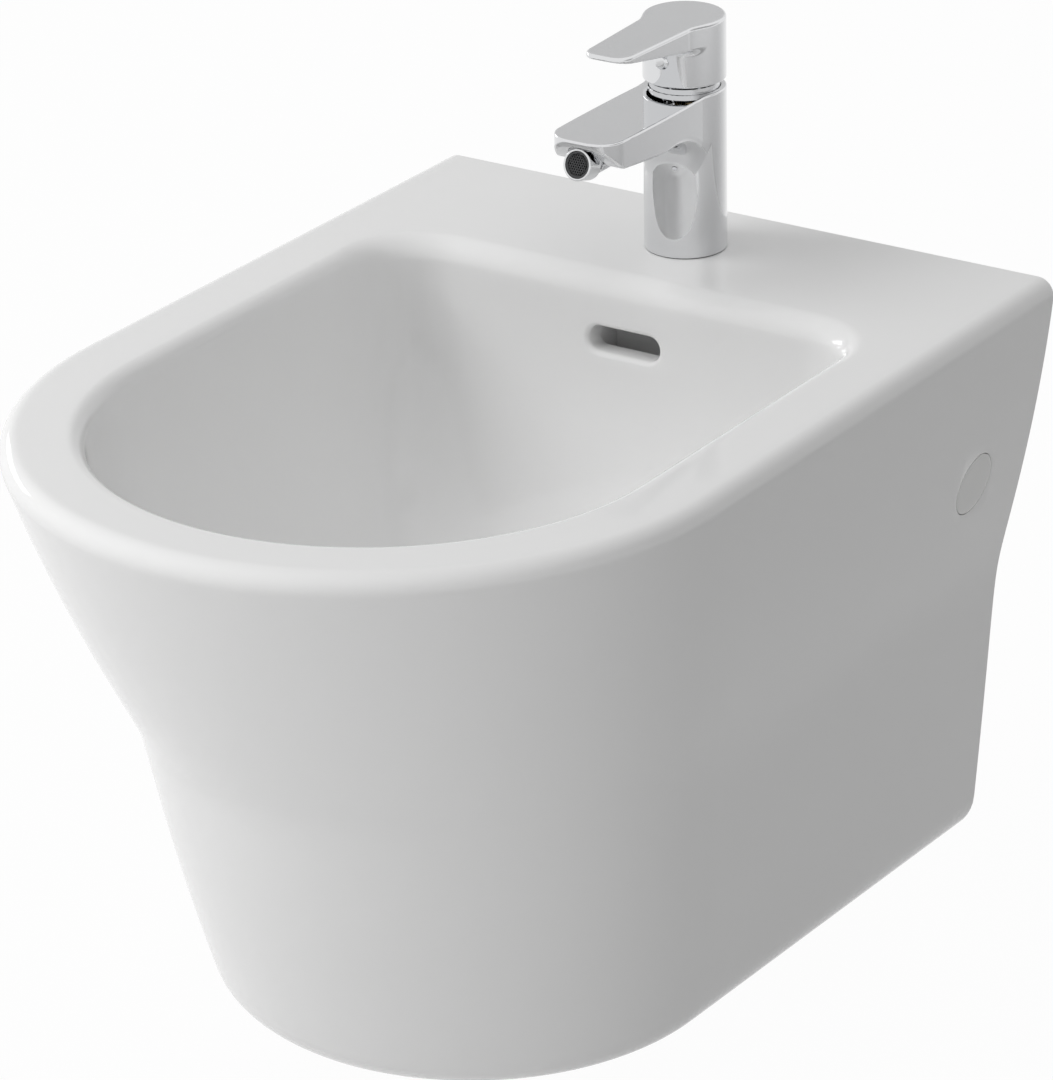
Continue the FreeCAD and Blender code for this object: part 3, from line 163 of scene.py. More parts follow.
# Front and back of the duct's sides, of its rear wall and of its way to the waste, and that way's height.
DUCT_SIDES = (-112.0, -84.0)
DUCT_REAR = (-90.0, -82.0)
DUCT_WAY = (WASTE_Y + 26.0, -104.0)
WAY_HEIGHT = 30.0

# Boss round the waste hole: radius inside and outside, and drop of its foot and top.
BOSS_INSIDE = 23.0
BOSS_OUTSIDE = 36.0
BOSS_FOOT = 206.0
BOSS_TOP = 163.0

# Edges that turn more than this stay sharp on the ceramic.
SHARP_ANGLE = math.radians(50.0)

UPWARD = (0.0, 0.0, 1.0)
FORWARD = (0.0, -1.0, 0.0)


# Settings

def length(label, note, size):
    """Setting of a length, given in millimetres."""
    return FloatProperty(name=label, description=note, default=size * MM, min=0.0, unit="LENGTH", precision=5)


def colour(label, note, value):
    """Setting of a colour."""
    return FloatVectorProperty(
        name=label, description=note, default=value, size=3, min=0.0, max=1.0, subtype="COLOR"
    )


def power(label, note, watts):
    """Setting of a light's power."""
    return FloatProperty(name=label, description=note, default=watts, min=0.0, unit="POWER")


class BowlSettings(PropertyGroup):
    """Ceramic shell, bowl and side caps."""

    wall: length("Wall", "Thickness of the sides and the foot", 12.0)
    deck: length("Deck", "Thickness of the deck that carries the tap", 14.0)
    bowl_wall: length("Bowl wall", "Thickness of the bowl", 11.0)
    rim_round: length("Rim round", "Radius of the outer edge of the rim", 9.5)
    foot_round: length("Foot round", "Radius of the edge of the foot", 30.0)
    waist_softness: length("Waist softness", "How gently the upper and lower sides meet", 3.5)
    lip_round: length("Lip round", "Radius of the bowl's lip at the sides and front", 9.0)
    rear_lip_round: length("Rear lip round", "Radius of the bowl's lip below the tap", 14.0)
    slot_width: length("Slot width", "Width of the overflow slot", 45.0)
    slot_height: length("Slot height", "Height of the overflow slot", 14.0)
    slot_drop: length("Slot drop", "Middle of the overflow slot below the rim", 36.0)
    slot_round: length("Slot round", "Radius of the overflow slot's edge", 3.0)
    cap_radius: length("Cap radius", "Radius of the covers over the side fixings", 17.2)
    cap_gap: length("Cap gap", "Gap round the side covers", 0.35)
    cap_setback: length("Cap setback", "Middle of the side covers from the wall", 57.0)
    glaze: colour("Glaze", "Colour of the glaze", (0.87, 0.87, 0.868))
    cap_tint: colour("Cap", "Colour of the side covers", (0.8, 0.8, 0.79))


class MixerSettings(PropertyGroup):
    """Mixer body, lever and nozzle."""

    column: length("Column radius", "Radius of the mixer's column", 22.5)
    body_top: length("Body top", "Top of the mixer body above the deck", 91.7)
    body_foot: length("Body foot", "Foot of the mixer body above the deck", 0.3)
    spout_reach: length("Spout reach", "Tip of the spout from the column's axis", 106.0)
    spout_half: length("Spout half width", "Half the width of the spout at its tip", 20.0)
    spout_corner: length("Spout corner", "Radius of the spout's corners", 14.5)
    horn: length("Horn", "Radius of the flare below the spout", 26.0)
    edge: length("Edge", "Rounding of the mixer body's edges", 0.9)
    lever_reach: length("Lever reach", "Tip of the lever from the column's axis", 80.5)
    lever_half: length("Lever half width", "Half the width of the lever", 16.5)
    lever_taper: length("Lever taper", "How much the lever's half width shrinks to its tip", 3.0)
    lever_drop: length("Lever drop", "How far the lever's top slopes down to its tip", 0.6)
    lever_corner: length("Lever corner", "Radius of the lever's corners", 9.0)
    lever_edge: length("Lever edge", "Rounding of the lever's upper edge", 1.8)
    net: length("Net", "Spacing of the points on the chrome pieces", 0.6)
    chrome: colour("Chrome", "Colour of the chrome plate", (0.735, 0.74, 0.75))
    insert: colour("Insert", "Colour of the nozzle's insert", (0.055, 0.056, 0.058))


class StageSettings(PropertyGroup):
    """Floor, light and camera."""

    floor_drop: length("Floor drop", "Floor below the rim", 400.0)
    whiteness: FloatProperty(
        name="Whiteness",
        description="How far the floor turns plain white where it is looked at",
        default=0.97,
        min=0.0,
        max=1.0,
        subtype="FACTOR",
    )
    ambient: FloatProperty(
        name="Ambient", description="Strength of the light from all round", default=0.31, min=0.0
    )
    key: power("Key", "Power of the high main light", 47.0)
    glint: power("Glint", "Power of the strip that the glaze mirrors", 6.5)
    side: power("Side", "Power of the low main light", 3.0)
    top: power("Top", "Power of the light overhead", 11.0)
    front: power("Front", "Power of the low front light", 18.0)
    floor_tint: colour("Floor", "Colour of the floor", (0.6, 0.6, 0.6))


class BidetSettings(PropertyGroup):
    """All the settings of the bidet."""

    bowl: PointerProperty(type=BowlSettings)
    mixer: PointerProperty(type=MixerSettings)
    stage: PointerProperty(type=StageSettings)


def in_mm(group):
    """The lengths of a settings group in millimetres, by name."""
    sizes = {}
    for name, item in group.bl_rna.properties.items():
        if item.type == "FLOAT" and item.unit == "LENGTH":
            sizes[name] = getattr(group, name) / MM
    return sizes


# Finishes

# Metallic value of the finishes.
PLAIN = 0.0
METAL = 1.0

# Sockets of a mix of colours: the two colours and the result.
MIX_FIRST = 6
MIX_SECOND = 7
MIX_RESULT = 2

# Part of the noise that the mottle spreads out, and share of the grain in the ripple.
NOISE_LOW = 0.3
NOISE_HIGH = 0.7
GRAIN_SHARE = 0.04


def new_group(name, inputs, output, output_type):
    """Empty shader group with its named inputs and its output."""
    tree = bpy.data.node_groups.new(name, "ShaderNodeTree")
    for label, kind, value in inputs:
        socket = tree.interface.new_socket(label, in_out="INPUT", socket_type=kind)
        socket.default_value = value
    tree.interface.new_socket(output, in_out="OUTPUT", socket_type=output_type)
    return tree


def add_node(tree, kind, **values):
    """New node with some of its settings."""
    node = tree.nodes.new(kind)
    for name, value in values.items():
        setattr(node, name, value)
    return node


def cloud(tree, entry, detail):
    """Noise in the object's own space, at the scale that the group is given."""
    place = add_node(tree, "ShaderNodeTexCoord")
    noise = add_node(tree, "ShaderNodeTexNoise")
    noise.inputs["Detail"].default_value = detail
    tree.links.new(place.outputs["Object"], noise.inputs["Vector"])
    tree.links.new(entry.outputs["Scale"], noise.inputs["Scale"])
    return noise.outputs["Fac"]


def mottle_group():
    """A value that drifts between two limits over the surface."""
    number = "NodeSocketFloat"
    inputs = [("Scale", number, 40.0), ("Low", number, 0.0), ("High", number, 1.0)]
    tree = new_group("Mottle", inputs, "Value", number)
    entry = add_node(tree, "NodeGroupInput")
    leave = add_node(tree, "NodeGroupOutput")
    spread = add_node(tree, "ShaderNodeMapRange")
    spread.inputs["From Min"].default_value = NOISE_LOW
    spread.inputs["From Max"].default_value = NOISE_HIGH
    tree.links.new(cloud(tree, entry, detail=3.0), spread.inputs["Value"])
    tree.links.new(entry.outputs["Low"], spread.inputs["To Min"])
    tree.links.new(entry.outputs["High"], spread.inputs["To Max"])
    tree.links.new(spread.outputs["Result"], leave.inputs["Value"])
    return tree


def tint_group():
    """A colour that drifts between two tints over the surface."""
    paint = "NodeSocketColor"
    inputs = [
        ("Scale", "NodeSocketFloat", 20.0),
        ("First", paint, (0.5, 0.5, 0.5, 1.0)),
        ("Second", paint, (0.5, 0.5, 0.5, 1.0)),
    ]
    tree = new_group("Tint drift", inputs, "Color", paint)
    entry = add_node(tree, "NodeGroupInput")
    leave = add_node(tree, "NodeGroupOutput")
    blend = add_node(tree, "ShaderNodeMix", data_type="RGBA")
    tree.links.new(cloud(tree, entry, detail=4.0), blend.inputs["Factor"])
    tree.links.new(entry.outputs["First"], blend.inputs[MIX_FIRST])
    tree.links.new(entry.outputs["Second"], blend.inputs[MIX_SECOND])
    tree.links.new(blend.outputs[MIX_RESULT], leave.inputs["Color"])
    return tree


def ripple_group():
    """Height of a faint unevenness: a long wave with a finer one on it."""
    number = "NodeSocketFloat"
    tree = new_group("Ripple", [("Scale", number, 12.0), ("Grain", number, 400.0)], "Height", number)
    entry = add_node(tree, "NodeGroupInput")
    leave = add_node(tree, "NodeGroupOutput")
    long_wave = cloud(tree, entry, detail=1.0)
    place = add_node(tree, "ShaderNodeTexCoord")
    fine = add_node(tree, "ShaderNodeTexNoise")
    tree.links.new(place.outputs["Object"], fine.inputs["Vector"])
    tree.links.new(entry.outputs["Grain"], fine.inputs["Scale"])
    share = add_node(tree, "ShaderNodeMath", operation="MULTIPLY_ADD")
    share.inputs[1].default_value = GRAIN_SHARE
    tree.links.new(fine.outputs["Fac"], share.inputs[0])
    tree.links.new(long_wave, share.inputs[2])
    tree.links.new(share.outputs[0], leave.inputs["Height"])
    return tree


def place_group(tree, group, **values):
    """Shader group placed in a material with its own values."""
    node = add_node(tree, "ShaderNodeGroup", node_tree=group)
    for name, value in values.items():
        node.inputs[name].default_value = value
    return node


def shared_group(name, build):
    """Shader group of that name, built when it is first asked for."""
    return bpy.data.node_groups.get(name) or build()


def darker(tint, share):
    """Tint at a share of its brightness, with full alpha."""
    return tuple(part * share for part in tint) + (1.0,)


def finish(name, tint, drift, roughness, metallic, relief, scales=(25.0, 60.0)):
    """Finish with its own drift of colour, gloss and height.

    The relief is the scale of its wave and of its grain, its strength and its height in metres.
    The scales are those of the drift of colour and of gloss.
    """
    old = bpy.data.materials.get(name)
    if old:
        return old
    material = bpy.data.materials.new(name)
    material.use_nodes = True
    tree = material.node_tree
    shader = tree.nodes["Principled BSDF"]
    shader.inputs["Metallic"].default_value = metallic
    tints = shared_group("Tint drift", tint_group)
    first, second = darker(tint, 1.0 - drift), darker(tint, 1.0)
    paint = place_group(tree, tints, Scale=scales[0], First=first, Second=second)
    tree.links.new(paint.outputs["Color"], shader.inputs["Base Color"])
    mottle = shared_group("Mottle", mottle_group)
    gloss = place_group(tree, mottle, Scale=scales[1], Low=roughness[0], High=roughness[1])
    tree.links.new(gloss.outputs["Value"], shader.inputs["Roughness"])
    wave_scale, grain, strength, height = relief
    wave = place_group(tree, shared_group("Ripple", ripple_group), Scale=wave_scale, Grain=grain)
    bump = add_node(tree, "ShaderNodeBump")
    bump.inputs["Strength"].default_value = strength
    bump.inputs["Distance"].default_value = height
    tree.links.new(wave.outputs["Height"], bump.inputs["Height"])
    tree.links.new(bump.outputs["Normal"], shader.inputs["Normal"])
    return material


def glaze_finish(settings):
    relief = (9.0, 300.0, 0.12, 0.0006)
    return finish("glaze", tuple(settings.glaze), 0.02, (0.045, 0.075), PLAIN, relief, (9.0, 35.0))


def cover_finish(settings):
    relief = (40.0, 900.0, 0.1, 0.0003)
    return finish("cover_plastic", tuple(settings.cap_tint), 0.02, (0.14, 0.2), PLAIN, relief)


def chrome_finish(settings):
    relief = (30.0, 900.0, 0.05, 0.0001)
    return finish("chrome_plate", tuple(settings.chrome), 0.03, (0.03, 0.06), METAL, relief)


def insert_finish(settings):
    relief = (300.0, 3000.0, 0.2, 0.0001)
    return finish("dark_moulding", tuple(settings.insert), 0.2, (0.35, 0.5), PLAIN, relief)


def zinc_finish():
    relief = (90.0, 1500.0, 0.2, 0.0002)
    return finish("zinc_plate", (0.56, 0.57, 0.58), 0.18, (0.26, 0.42), METAL, relief, (120.0, 180.0))


def nylon_finish():
    relief = (120.0, 2200.0, 0.2, 0.0002)
    return finish("nylon_moulding", (0.76, 0.75, 0.7), 0.06, (0.42, 0.55), PLAIN, relief)


def rubber_finish():
    relief = (200.0, 2500.0, 0.3, 0.0002)
    return finish("seal_rubber", (0.03, 0.03, 0.031), 0.25, (0.55, 0.75), PLAIN, relief)


def brass_finish():
    relief = (80.0, 1800.0, 0.2, 0.0002)
    return finish("raw_brass", (0.72, 0.55, 0.27), 0.15, (0.22, 0.36), METAL, relief, (90.0, 200.0))


def disc_finish():
    relief = (60.0, 1200.0, 0.1, 0.0002)
    return finish("lapped_disc", (0.85, 0.83, 0.77), 0.05, (0.2, 0.3), PLAIN, relief)


def slot_finishes(settings):
    """One finish for each material slot of the pieces that keep their own mesh."""
    return {
        "ceramic": glaze_finish(settings.bowl),
        "cap_plastic": cover_finish(settings.bowl),
        "zinc_steel": zinc_finish(),
        "nylon": nylon_finish(),
        "chrome": chrome_finish(settings.mixer),
        "rubber": rubber_finish(),
        "brass": brass_finish(),
        "disc_ceramic": disc_finish(),
        "dark_plastic": insert_finish(settings.mixer),
    }


# Mesh helpers

class Sheet:
    """Points and faces gathered row by row, with the wall behind each point."""

    def __init__(self):
        self.points = []
        self.faces = []
        self.walls = []
        self.wall = 0.0

    def row(self, points):
        """Add a row of points and return their numbers."""
        start = len(self.points)
        self.points.extend(np.asarray(points, dtype=float).tolist())
        self.walls.extend([self.wall] * (len(self.points) - start))
        return list(range(start, len(self.points)))

    def strip(self, first, second, closed, skip=()):
        """Faces between two rows, apart from the places to skip."""
        count = len(first) if closed else len(first) - 1
        for number in range(count):
            if number in skip:
                continue
            after = (number + 1) % len(first)
            self.faces.append((first[number], second[number], second[after], first[after]))

    def join(self, points, faces):
        """Add the points and faces of another piece."""
        start = len(self.points)
        self.points.extend(points)
        self.faces.extend(tuple(start + index for index in face) for face in faces)

    def block(self, low, high):
        """Box between two corners."""
        plan = ((low[0], low[1]), (high[0], low[1]), (high[0], high[1]), (low[0], high[1]))
        points = [[x, y, z] for z in (low[2], high[2]) for x, y in plan]
        sides = ((0, 3, 2, 1), (4, 5, 6, 7), (0, 1, 5, 4), (1, 2, 6, 5), (2, 3, 7, 6), (3, 0, 4, 7))
        self.join(points, sides)


def new_piece(name, points, faces, material, body, nodes, normals=None):
    """Smooth piece in metres that rides on a body and stands for CAD nodes."""
    mesh = bpy.data.meshes.new(name)
    mesh.from_pydata((np.asarray(points) * MM).tolist(), [], [tuple(face) for face in faces])
    if mesh.validate():
        raise RuntimeError(f"{name} has faces that are not valid")
    mesh.shade_smooth()
    if normals is not None:
        mesh.normals_split_custom_set_from_vertices(normals.tolist())
    piece = bpy.data.objects.new(name, mesh)
    bpy.context.scene.collection.objects.link(piece)
    mesh.materials.append(material)
    settle(piece, body, nodes)
    return piece


def settle(piece, body, nodes):
    """Hang the piece on its body's empty and hide the CAD nodes that it stands for."""
    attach(piece, body)
    if nodes:
        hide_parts(*nodes)


def box_in_mm(node):
    """Lowest and highest corner of a CAD node."""
    return [np.array(corner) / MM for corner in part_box(node)]


def apply_modifiers(piece):
    """Put the mesh that the modifiers give in place of the piece's own."""
    bpy.context.view_layer.update()
    graph = bpy.context.evaluated_depsgraph_get()
    mesh = bpy.data.meshes.new_from_object(piece.evaluated_get(graph))
    piece.modifiers.clear()
    old = piece.data
    piece.data = mesh
    bpy.data.meshes.remove(old)


def bezier_rows(start, first, second, end, steps):
    """Rows along a Bezier curve between two rows of points."""
    rows = []
    for share in np.linspace(0.0, 1.0, steps + 1):
        left = 1.0 - share
        rows.append(
            left**3 * start + 3 * left**2 * share * first + 3 * left * share**2 * second + share**3 * end
        )
    return rows


def unit(vectors):
    """Vectors brought to length one."""
    return vectors / np.linalg.norm(vectors, axis=-1, keepdims=True)


def smooth_step(value):
    """Soft rise from zero to one while the value goes from zero to one."""
    share = np.clip(value, 0.0, 1.0)
    return share * share * (3.0 - 2.0 * share)


def bend(arrive, leave, radius):
    """Reach and handle of a round of that radius between two directions, point by point."""
    turn = np.arccos(np.clip((arrive * leave).sum(axis=-1), -1.0, 1.0))
    reach = radius * np.tan(turn / 2)
    handle = radius * np.tan(turn / 4) * 4 / 3
    return reach[..., None], handle[..., None]


def soften(corners, steps=6):
    """Outline of (across, along, radius) corners with each corner rounded by its radius."""
    outline = []
    count = len(corners)
    for number, (across, along, radius) in enumerate(corners):
        here = np.array([across, along])
        if radius == 0.0:
            outline.append(here)
            continue
        arrive = unit(here - np.array(corners[number - 1][:2]))
        leave = unit(np.array(corners[(number + 1) % count][:2]) - here)
        reach, handle = bend(arrive, leave, radius)
        start = here - arrive * reach
        end = here + leave * reach
        outline.extend(bezier_rows(start, start + arrive * handle, end - leave * handle, end, steps))
    return np.array(outline)


def proper_faces(faces):
    """Faces with no corner twice, without those that are left with fewer than three."""
    shortened = [tuple(dict.fromkeys(face)) for face in faces]
    return [face for face in shortened if len(face) > 2]


def outward_faces(points, faces, direction):
    """Faces turned so that the first of them looks along a direction."""
    first, second, third = (np.array(points[index]) for index in faces[0][:3])
    normal = np.cross(second - first, third - first)
    return faces if normal @ direction > 0.0 else [face[::-1] for face in faces]


def lathe(outline, origin, axis, segments, closed):
    """Points and faces of an outline of (across, along) turned about an axis."""
    axis = unit(np.asarray(axis, dtype=float))
    helper = np.array([1.0, 0.0, 0.0]) if abs(axis[0]) < 0.9 else np.array([0.0, 1.0, 0.0])
    side = unit(np.cross(axis, helper))
    other = np.cross(axis, side)
    sheet = Sheet()
    rings = []
    angles = np.linspace(0.0, 2 * math.pi, segments, endpoint=False)
    for across, along in outline:
        centre = np.asarray(origin) + axis * along
        if across < 1e-6:
            rings.append(sheet.row([centre]) * segments)
            continue
        around = np.cos(angles)[:, None] * side + np.sin(angles)[:, None] * other
        rings.append(sheet.row(centre + across * around))
    pairs = list(zip(rings, rings[1:]))
    if closed:
        pairs.append((rings[-1], rings[0]))
    for first, second in pairs:
        sheet.strip(first, second, True)
    return sheet.points, proper_faces(sheet.faces)


def turned_piece(name, corners, origin, axis, segments, material, body, node):
    """Plated piece turned about an axis, from corners that start at its far end."""
    points, faces = lathe(soften(corners), origin, axis, segments, False)
    faces = outward_faces(points, faces, np.array(axis))
    new_piece(name, points, faces, material, body, [node])


# Ceramic

def parabola(levels, column):
    """Parabola through one column of three levels."""
    return np.polyfit([level[0] for level in levels], [level[column] for level in levels], 2)


UPPER_SIDES = [parabola(SHELL_LEVELS[:3], column) for column in (1, 2, 3)]
LOWER_SIDES = [parabola(SHELL_LEVELS[2:], column) for column in (1, 2, 3)]


def shell_sizes(drop, softness):
    """Half width at the wall, front radius and depth of the shell at a drop below the rim."""
    sizes = []
    for upper, lower in zip(UPPER_SIDES, LOWER_SIDES):
        first = np.polyval(upper, drop)
        second = np.polyval(lower, drop)
        sizes.append((first + second + math.hypot(first - second, softness)) / 2)
    return sizes


def shell_meet(drop, softness):
    """Where the straight side meets the round front, with its angle, and the shell's sizes."""
    half, radius, depth = shell_sizes(drop, softness)
    centre = depth - radius
    reach = math.hypot(half, centre)
    touch = math.atan2(centre, half) - math.acos(min(1.0, radius / reach))
    meet = (radius * math.cos(touch), radius * math.sin(touch) - centre)
    return half, radius, centre, touch, meet


def shell_outline(drop, softness):
    """Outline from the right rear corner round the front to the left rear corner."""
    half, radius, centre, touch, meet = shell_meet(drop, softness)
    side = math.hypot(half - meet[0], meet[1])
    arc = radius * (math.pi + 2 * touch)
    travel = np.linspace(0.0, 2 * side + arc, SIDE_COLUMNS + 1)
    share = np.minimum(travel, travel[::-1]) / side
    x = half + (meet[0] - half) * share
    y = meet[1] * share
    angle = touch - (travel - side) / radius
    x = np.where(share > 1.0, radius * np.cos(angle), np.where(travel > side, -x, x))
    y = np.where(share > 1.0, radius * np.sin(angle) - centre, y)
    y[0] = 0.0
    y[-1] = 0.0
    return np.stack([x, y, np.full_like(x, RIM_Z - drop)], axis=1)


def side_point(drop, y, sign, softness):
    """Point on the straight part of one side of the shell."""
    half, _, _, _, meet = shell_meet(drop, softness)
    return [sign * (half + (meet[0] - half) * y / meet[1]), y, RIM_Z - drop]


def closed_ring(sides):
    """Ring from the middle of the back to the right, round the sides and back."""
    right = sides[0]
    left = sides[-1]
    first = [[x, 0.0, right[2]] for x in np.linspace(0.0, right[0], HALF_BACK + 1)[:-1]]
    last = [[x, 0.0, left[2]] for x in np.linspace(left[0], 0.0, HALF_BACK + 1)[1:-1]]
    return np.concatenate([np.array(first), sides, np.array(last)])


def inward_of(outline):
    """Unit vectors in plan that point inside an outline that runs right, front, left."""
    along = np.gradient(outline[:, :2], axis=0)
    return unit(np.stack([along[:, 1], -along[:, 0], np.zeros(len(along))], axis=1))


def loop_outline(half, rear, front, corner, drop):
    """Bowl outline from the middle of its rear round to the right, evenly spaced."""
    corner = min(corner, half, front - half - rear)
    inner = half - corner
    centre = front - half
    lengths = [inner, corner * math.pi / 2, centre - rear - corner, half * math.pi]
    lengths += lengths[2::-1]
    ends = np.cumsum(lengths)
    travel = np.linspace(0.0, ends[-1], RING_COLUMNS, endpoint=False)
    points = np.zeros((RING_COLUMNS, 3))
    points[:, 2] = RIM_Z - drop
    pieces = np.searchsorted(ends, travel, side="right")
    starts = np.concatenate([[0.0], ends[:-1]])
    for number in range(RING_COLUMNS):
        piece = pieces[number]
        gone = travel[number] - starts[piece]
        points[number, :2] = loop_point(piece, gone, half, rear, centre, corner, inner)
    return points


def loop_point(piece, gone, half, rear, centre, corner, inner):
    """Point some way along one of the seven pieces of the bowl's outline."""
    bend_y = -(rear + corner)
    if piece == 0:
        return gone, -rear
    if piece == 6:
        return gone - inner, -rear
    if piece == 2:
        return half, bend_y - gone
    if piece == 4:
        return -half, -centre + gone
    if piece == 3:
        angle = -gone / half
        return half * math.cos(angle), half * math.sin(angle) - centre
    angle = math.pi / 2 - gone / corner
    if piece == 1:
        return inner + corner * math.cos(angle), bend_y + corner * math.sin(angle)
    angle = math.pi - gone / corner
    return corner * math.cos(angle) - inner, bend_y + corner * math.sin(angle)


def smooth_curve(controls, count):
    """Smooth curve through rows of numbers, sampled along its length."""
    controls = np.asarray(controls)
    steps = np.linalg.norm(np.diff(controls[:, :4], axis=0), axis=1)
    place = np.concatenate([[0.0], np.cumsum(steps)])
    size = len(controls)
    system = np.eye(size)
    right = np.zeros_like(controls)
    for row in range(1, size - 1):
        before = place[row] - place[row - 1]
        after = place[row + 1] - place[row]
        system[row, row - 1 : row + 2] = before / 6, (before + after) / 3, after / 6
        ahead = (controls[row + 1] - controls[row]) / after
        behind = (controls[row] - controls[row - 1]) / before
        right[row] = ahead - behind
    curve = np.linalg.solve(system, right)
    at = np.linspace(0.0, place[-1], count)
    left = np.clip(np.searchsorted(place, at, side="right") - 1, 0, size - 2)
    gap = (place[left + 1] - place[left])[:, None]
    low = ((place[left + 1] - at)[:, None]) / gap
    high = 1.0 - low
    bulge = (low**3 - low) * curve[left] + (high**3 - high) * curve[left + 1]
    return low * controls[left] + high * controls[left + 1] + bulge * gap**2 / 6


def floor_opening():
    """Rectangle with round corners in the foot, evenly spaced from the middle of its rear."""
    half, rear, front, corner = FLOOR_OPENING
    corners = [
        (0.0, -rear, 0.0),
        (half, -rear, corner),
        (half, -front, corner),
        (-half, -front, corner),
        (-half, -rear, corner),
    ]
    outline = soften(corners)
    outline = np.concatenate([outline, outline[:1]])
    travel = np.concatenate([[0.0], np.cumsum(np.linalg.norm(np.diff(outline, axis=0), axis=1))])
    at = np.linspace(0.0, travel[-1], RING_COLUMNS, endpoint=False)
    x = np.interp(at, travel, outline[:, 0])
    y = np.interp(at, travel, outline[:, 1])
    return np.stack([x, y, np.full_like(x, RIM_Z - SHELL_DROP)], axis=1)


class Ceramic:
    """Builds the visible skin of the ceramic, from the floor opening over the rim into the waste."""

    def __init__(self, sizes):
        self.sizes = sizes
        self.sheet = Sheet()
        self.soft = sizes["waist_softness"]
        self.table_drops = np.arange(0.0, SHELL_DROP + 0.5, 1.0)
        self.table = np.array([shell_outline(drop, self.soft) for drop in self.table_drops])
        self.bowl_curve = smooth_curve(BOWL_LEVELS, CURVE_POINTS)

    def shell_at(self, drops):
        """Point of each column at its own drop."""
        low = np.clip(np.floor(drops).astype(int), 0, len(self.table_drops) - 2)
        share = (drops - low)[:, None]
        columns = np.arange(SIDE_COLUMNS + 1)
        return self.table[low, columns] * (1.0 - share) + self.table[low + 1, columns] * share

    def edge_rows(self, edge_drop, way, radius, steps):
        """Rows of the round between the sides and a flat; the sides lie below it (1) or above it (-1)."""
        edge = shell_outline(edge_drop, self.soft)
        arrive = unit(edge - self.shell_at(np.full(SIDE_COLUMNS + 1, edge_drop + way * LEAN_SPAN)))
        inward = inward_of(edge)
        reach, handle = bend(arrive, inward, radius)
        drops = edge_drop + way * reach[:, 0] * np.abs(arrive[:, 2])
        start = self.shell_at(drops)
        rise = unit(self.shell_at(drops - way) - start)
        end = edge + inward * reach
        rows = bezier_rows(start, start + rise * handle, end - inward * handle, end, steps)
        for row in rows:
            row[0, 1] = 0.0
            row[-1, 1] = 0.0
        return rows

    def build_foot(self):
        """Flat foot with its opening; returns the sides' part of its outer ring."""
        self.sheet.wall = self.sizes["wall"]
        rows = self.edge_rows(SHELL_DROP, -1.0, self.sizes["foot_round"], steps=10)
        outer = closed_ring(rows[-1])
        opening = floor_opening()
        ring = None
        for share in np.linspace(0.0, 1.0, FOOT_ROWS + 1):
            points = opening * (1.0 - share) + outer * share
            points[:, 2] = outer[0, 2]
            after = self.sheet.row(points)
            if ring:
                self.sheet.strip(ring, after, True)
            ring = after
        sides = ring[HALF_BACK : HALF_BACK + SIDE_COLUMNS + 1]
        for row in rows[-2::-1]:
            after = self.sheet.row(row)
            self.sheet.strip(sides, after, False)
            sides = after
        return sides

    def build_sides(self, sides):
        """Sides from the foot up to the rim, with a round hole for each side fixing."""
        lowest = SHELL_DROP - CLEAR_OF_FOOT * self.sizes["foot_round"]
        highest = CLEAR_OF_RIM * self.sizes["rim_round"]
        drops = np.linspace(lowest, highest, int((lowest - highest) / ROW_STEP))
        outlines = [shell_outline(drop, self.soft) for drop in drops]
        # The side fixings are level with the origin of the frame.
        hole_drop = RIM_Z
        hole_y = -self.sizes["cap_setback"]
        middle = int(np.argmin(np.abs(drops - hole_drop)))
        column = int(np.argmin(np.abs(outlines[middle][:NEAR_WALL, 1] - hole_y)))
        right = range(column - CAP_CELLS, column + CAP_CELLS)
        left = range(SIDE_COLUMNS - column - CAP_CELLS, SIDE_COLUMNS - column + CAP_CELLS)
        rows = []
        for number, outline in enumerate(outlines):
            after = self.sheet.row(outline)
            inside = middle - CAP_CELLS < number <= middle + CAP_CELLS
            self.sheet.strip(sides, after, False, set(right) | set(left) if inside else ())
            rows.append(after)
            sides = after
        for sign, columns in ((1.0, right), (-1.0, left)):
            block = rows[middle - CAP_CELLS : middle + CAP_CELLS + 1]
            loop = block_loop(block, columns.start, columns.stop)
            self.fixing_hole(loop, sign, hole_y, hole_drop)
        for row in self.edge_rows(0.0, 1.0, self.sizes["rim_round"], steps=12):
            after = self.sheet.row(row)
            self.sheet.strip(sides, after, False)
            sides = after
            last = row
        return sides, last

    def fixing_hole(self, loop, sign, hole_y, hole_drop):
        """Round hole in one side, from the loop of points left round it."""
        radius = self.sizes["cap_radius"] + self.sizes["cap_gap"]
        points = np.array([self.sheet.points[index] for index in loop])
        away = unit(np.stack([points[:, 1] - hole_y, RIM_Z - points[:, 2] - hole_drop], axis=1))
        before = loop
        self.sheet.wall = HOLE_WALL
        for outset, depth in HOLE_EDGE:
            size = radius + outset
            ring = []
            for across, down in away:
                point = side_point(hole_drop + size * down, hole_y + size * across, sign, self.soft)
                point[0] -= sign * depth
                ring.append(point)
            after = self.sheet.row(ring)
            self.sheet.strip(before, after, True)
            before = after
        self.sheet.wall = self.sizes["wall"]

    def build_deck(self, sides, last):
        """Flat deck from the rim's round to the lip of the bowl, and the lip."""
        self.sheet.wall = self.sizes["deck"]
        outer = closed_ring(last)
        first = self.sheet.row(outer[:HALF_BACK])
        final = self.sheet.row(outer[HALF_BACK + SIDE_COLUMNS + 1 :])
        ring = first + sides + final
        lip = self.lip_rows()
        for share in np.linspace(0.0, 1.0, DECK_ROWS + 1)[1:]:
            points = outer * (1.0 - share) + lip[0] * share
            points[:, 2] = RIM_Z
            after = self.sheet.row(points)
            self.sheet.strip(ring, after, True)
            ring = after
        for row in lip[1:]:
            after = self.sheet.row(row)
            self.sheet.strip(ring, after, True)
            ring = after
        return ring

